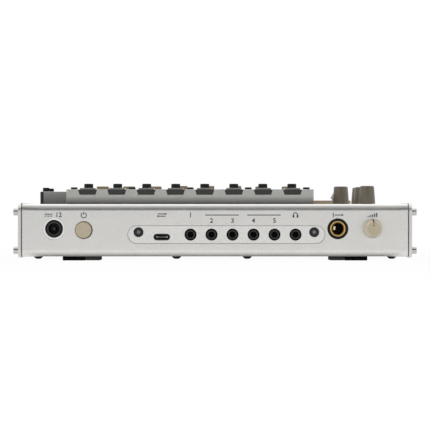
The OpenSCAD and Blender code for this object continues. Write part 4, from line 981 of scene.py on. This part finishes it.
# Taupe has a low polish, like a thin coat. The volume knob's cone is painted paler than its dished top, as
# the sheen of grazing light, and the pointer grooves and dots are painted brown as their shade.
taupe = grained("taupe_moulded_plastic", "#5e5648", "#6c6354", rough=0.36, grain=0.45, bump=0.15,
                Coat_Weight=0.25)
sheen_beige = grained("beige_plastic_painted_sheen", "#cdc1aa", "#dbcfb8", rough=0.35, grain=0.45, bump=0.15)
shadow_brown = grained("painted_pointer_shade", "#4a4135", "#574d40", rough=0.5, grain=0.4, bump=0.1)
for node in KNOBS:
    low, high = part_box(node)
    middle = (low + high) / 2
    top_knob = stand_in(knob(node, KNOB_D, KNOB_TOP_D, (high.z - low.z) / MM - KNOB_H), taupe, node)
    # The pointer and dot are painted brown as their shade.
    inlaid(top_knob, shadow_brown, lambda at, normal: in_pointer(at, normal, KNOB_D, KNOB_TOP_D))
    top_knob.data.transform(Matrix.Translation((middle.x, middle.y, high.z - KNOB_H * MM)))

volume_low, volume_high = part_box("volume_knob")
volume_middle = (volume_low + volume_high) / 2
volume = knob("volume_knob", VOLUME_D, VOLUME_TOP_D, (volume_high.y - volume_low.y) / MM - KNOB_H,
              side_groove=True)
# The cone gets the paler beige as a painted sheen; the dished face keeps plain beige.
stand_in(volume, sheen_beige, "volume_knob")
inlaid(volume, beige, lambda at, normal: normal.z > TOP_FACING and at.z > (KNOB_H - 2 * KNOB_DISH) * MM)
inlaid(volume, shadow_brown, lambda at, normal: in_pointer(at, normal, VOLUME_D, VOLUME_TOP_D)
       and (at.z < PAINTED * KNOB_H * MM or at.y < POINTER_FROM * VOLUME_TOP_D / 2 * MM))
pointer_up = Matrix(((-1, 0, 0, 0), (0, 0, 1, 0), (0, 1, 0, 0), (0, 0, 0, 1)))
volume_foot = Vector((volume_middle.x, volume_high.y - KNOB_H * MM, volume_middle.z))
volume.data.transform(Matrix.Translation(volume_foot) @ pointer_up)

# Toggle
# A small lever moulded in pale grey plastic, with a rounded tip. It tips to either side on a cross pin in
# its bushing and leans toward the knobs at rest.
LEVER_EDGE = 0.3

# The plastic is satin, with the same fine mould grain as the knobs.
lever_grey = grained("pale_lever_plastic", "#b9b6ae", "#cbc8c0", rough=0.4, grain=0.45, bump=0.15)
stand_in(eased(merged("toggle_lever"), LEVER_EDGE, segments=3), lever_grey, "toggle_lever")

# Printed marks
# Plain signs and numbers in dark grey ink, screen printed on the rear panel over the sockets and controls:
# direct current, standby, data both ways, five numbered sockets, listening, signal out and level.
INK_T = 0.06
STROKE = 0.5
FIGURE = 3.7
FIGURE_WEIGHT = 0.07
MARK_Z = 26.2
LOWER_Z = 22.9
HEAD_R = 0.75
SIGN_W = 4.4
marks = []


def bar(x, z, w, h=STROKE, turn=0):
    """One printed bar in the panel's plane: x to the viewer's right, z up, in millimetres."""
    bpy.ops.object.select_all(action="DESELECT")
    bpy.ops.mesh.primitive_plane_add(size=MM, location=(x * MM, z * MM, 0),
                                     rotation=(0, 0, math.radians(turn)))
    bpy.context.object.scale = (w, h, 1)
    marks.append(bpy.context.object)


def arrow(x, z, turn=0):
    """A bar with a filled head at its end, pointing right, or turned about its middle."""
    bar(x, z, SIGN_W, turn=turn)
    tip = Vector((SIGN_W / 2, 0, 0)) @ Matrix.Rotation(-math.radians(turn), 3, "Z")
    bpy.ops.object.select_all(action="DESELECT")
    bpy.ops.mesh.primitive_circle_add(vertices=3, radius=HEAD_R * MM, fill_type="NGON",
                                      location=(Vector((x, z, 0)) + tip) * MM,
                                      rotation=(0, 0, math.radians(turn - 90)))
    marks.append(bpy.context.object)


def arc(x, z, r, sweep, start):
    """A printed ring, or part of one, that starts at an angle and runs clockwise."""
    piece = turned("arc", [(r - STROKE / 2, 0), (r + STROKE / 2, 0)], steps=40, sweep=sweep)
    turn = Matrix.Rotation(math.radians(start), 4, "Z")
    piece.data.transform(Matrix.Translation((x * MM, z * MM, 0)) @ turn)
    marks.append(piece)


def figure(digits, x, z):
    """A printed number with its middle at a place."""
    bpy.ops.object.select_all(action="DESELECT")
    bpy.ops.object.text_add(location=(x * MM, z * MM, 0))
    words = bpy.context.object
    words.data.body = digits
    words.data.size = FIGURE * MM
    words.data.offset = FIGURE_WEIGHT * MM
    words.data.align_x = "CENTER"
    words.data.align_y = "CENTER"
    bpy.ops.object.convert(target="MESH")
    marks.append(bpy.context.object)


def print_on(name, ink_used, place):
    """Makes the drawn marks one thin print, puts it in place on the casing and clears the sheet."""
    sheet = applied(joined(marks, name), "SOLIDIFY", thickness=INK_T * MM, offset=0)
    edit(sheet, "FACE")
    bpy.ops.mesh.normals_make_consistent(inside=False)
    close()
    sheet.data.transform(place)
    sheet.data.materials.clear()
    sheet.data.materials.append(ink_used)
    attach(sheet, frame["nodes"]["chassis_shell"]["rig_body"])
    marks.clear()


# Direct current: a bar over three dashes, and the volts beside it.
CURRENT_LEFT = 3.2
CURRENT_UP = 0.5
DASH_DOWN = 0.6
DASH_W = 1.1
DASH_PITCH = 1.6
VOLTS_RIGHT = 2.6
inlet_x = -inlet_axis[0] / MM
bar(inlet_x - CURRENT_LEFT, MARK_Z + CURRENT_UP, SIGN_W)
for dash in (-1, 0, 1):
    bar(inlet_x - CURRENT_LEFT + DASH_PITCH * dash, MARK_Z - DASH_DOWN, DASH_W)
figure("12", inlet_x + VOLTS_RIGHT, MARK_Z)

# Standby: an open ring with a bar in its gap.
STANDBY_R = 1.5
STANDBY_DOWN = 0.1
STANDBY_GAP = 60
STANDBY_BAR_UP = 1.0
STANDBY_BAR = 1.7
button_x = -button_middle.x / MM
arc(button_x, MARK_Z - STANDBY_DOWN, STANDBY_R, 360 - STANDBY_GAP, STANDBY_GAP)
bar(button_x, MARK_Z + STANDBY_BAR_UP, STROKE, STANDBY_BAR)

# Data: an arrow each way. Sockets: a number each, and a bar over each pair.
DATA_UP = 0.65
SOCKET_PITCH = 12
PAIR_W = 1.6 * SOCKET_PITCH
data_x = -data_middle.x / MM
arrow(data_x, MARK_Z + DATA_UP)
arrow(data_x, MARK_Z - DATA_UP, turn=180)
socket_x = sorted(-axis[0] / MM for axis in jack_axes)
figure("1", socket_x[0], MARK_Z)
for k in (1, 3):
    bar(socket_x[k] + SOCKET_PITCH / 2, MARK_Z, PAIR_W)
    for n in (k, k + 1):
        figure(str(n + 1), socket_x[n], LOWER_Z)

# Listening: a headband with two ear pads.
BAND_R = 1.2
BAND_UP = 0.1
EAR_ASIDE = 1.15
EAR_DOWN = 0.7
EAR_H = 1.5
arc(socket_x[5], MARK_Z + BAND_UP, BAND_R, 180, 180)
for side in (-1, 1):
    bar(socket_x[5] + EAR_ASIDE * side, MARK_Z - EAR_DOWN, 2 * STROKE, EAR_H)

# Signal out: an arrow that leaves a line. Level: five rising bars.
LINE_LEFT = 2.6
LINE_H = 2.6
OUT_RIGHT = 0.4
LEVELS = 5
LEVEL_LEAST = 0.5
LEVEL_RISE = 0.45
LEVEL_PITCH = 1.2
LEVEL_W = 0.7
LEVEL_DOWN = 1.1
output_x = -bush_middle.x / MM
bar(output_x - LINE_LEFT, MARK_Z, STROKE, LINE_H)
arrow(output_x + OUT_RIGHT, MARK_Z)
volume_x = -volume_middle.x / MM
for step in range(LEVELS):
    rise = LEVEL_LEAST + LEVEL_RISE * step
    bar(volume_x + LEVEL_PITCH * (step - LEVELS // 2), MARK_Z - LEVEL_DOWN + rise / 2, LEVEL_W, rise)

# Screen ink is matt and dense, with a slightly uneven tone.
ink = grained("screen_print_ink", "#2c2c2b", "#3a3a38", rough=0.6, grain=0.4, bump=0.1)
print_on("panel_marks", ink, Matrix.Translation((0, wrap_high.y, 0)) @ pointer_up)

# Scales
# Plain scales printed where a hand sets a value: eleven ticks round each top knob, three beside each slider
# slot in pale ink, and the numbers of the keys on the control plate.
TICKS = 11
DIAL_SWEEP = 280
DIAL_R = 7.3
TICK_L = 1.4
TICK_W = 0.35
SLOT_SIDE = 5.6
NUMBER_GAP = 2.2

# The pale ink is as matt as the dark one, and stands out on the dark deck.
pale_ink = grained("pale_screen_ink", "#cfcdc6", "#dddbd4", rough=0.6, grain=0.4, bump=0.1)
for node in KNOBS:
    low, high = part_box(node)
    axis = (low + high) / 2 / MM
    for k in range(TICKS):
        turn = DIAL_SWEEP * (k / (TICKS - 1) - 0.5)
        way = Vector((math.sin(math.radians(turn)), math.cos(math.radians(turn))))
        bar(*(axis.xy + DIAL_R * way), TICK_W, TICK_L, -turn)
print_on("dial_ticks", ink, Matrix.Translation((0, 0, wrap_high.z)))
joints = {joint["name"]: joint for joint in frame["record"]["behaviour"]["joints"]}
for n in range(1, VOICES + 1):
    low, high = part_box(f"slider_{n}")
    cap = (low + high) / 2 / MM
    near, far = joints[f"slider_{n}_slide"]["range_m"]
    for share in (0, 0.5, 1):
        bar(cap.x + SLOT_SIDE, cap.y + (near + share * (far - near)) / MM, TICK_L, TICK_W)
print_on("slider_ticks", pale_ink, Matrix.Translation((0, 0, deck_high.z)))
for n in range(1, VOICES + 1):
    low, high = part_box(f"key_{n}")
    figure(str(n), (low.x + high.x) / 2 / MM, high.y / MM + NUMBER_GAP)
print_on("key_numbers", ink, Matrix.Translation((0, 0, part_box("control_plate")[1].z)))
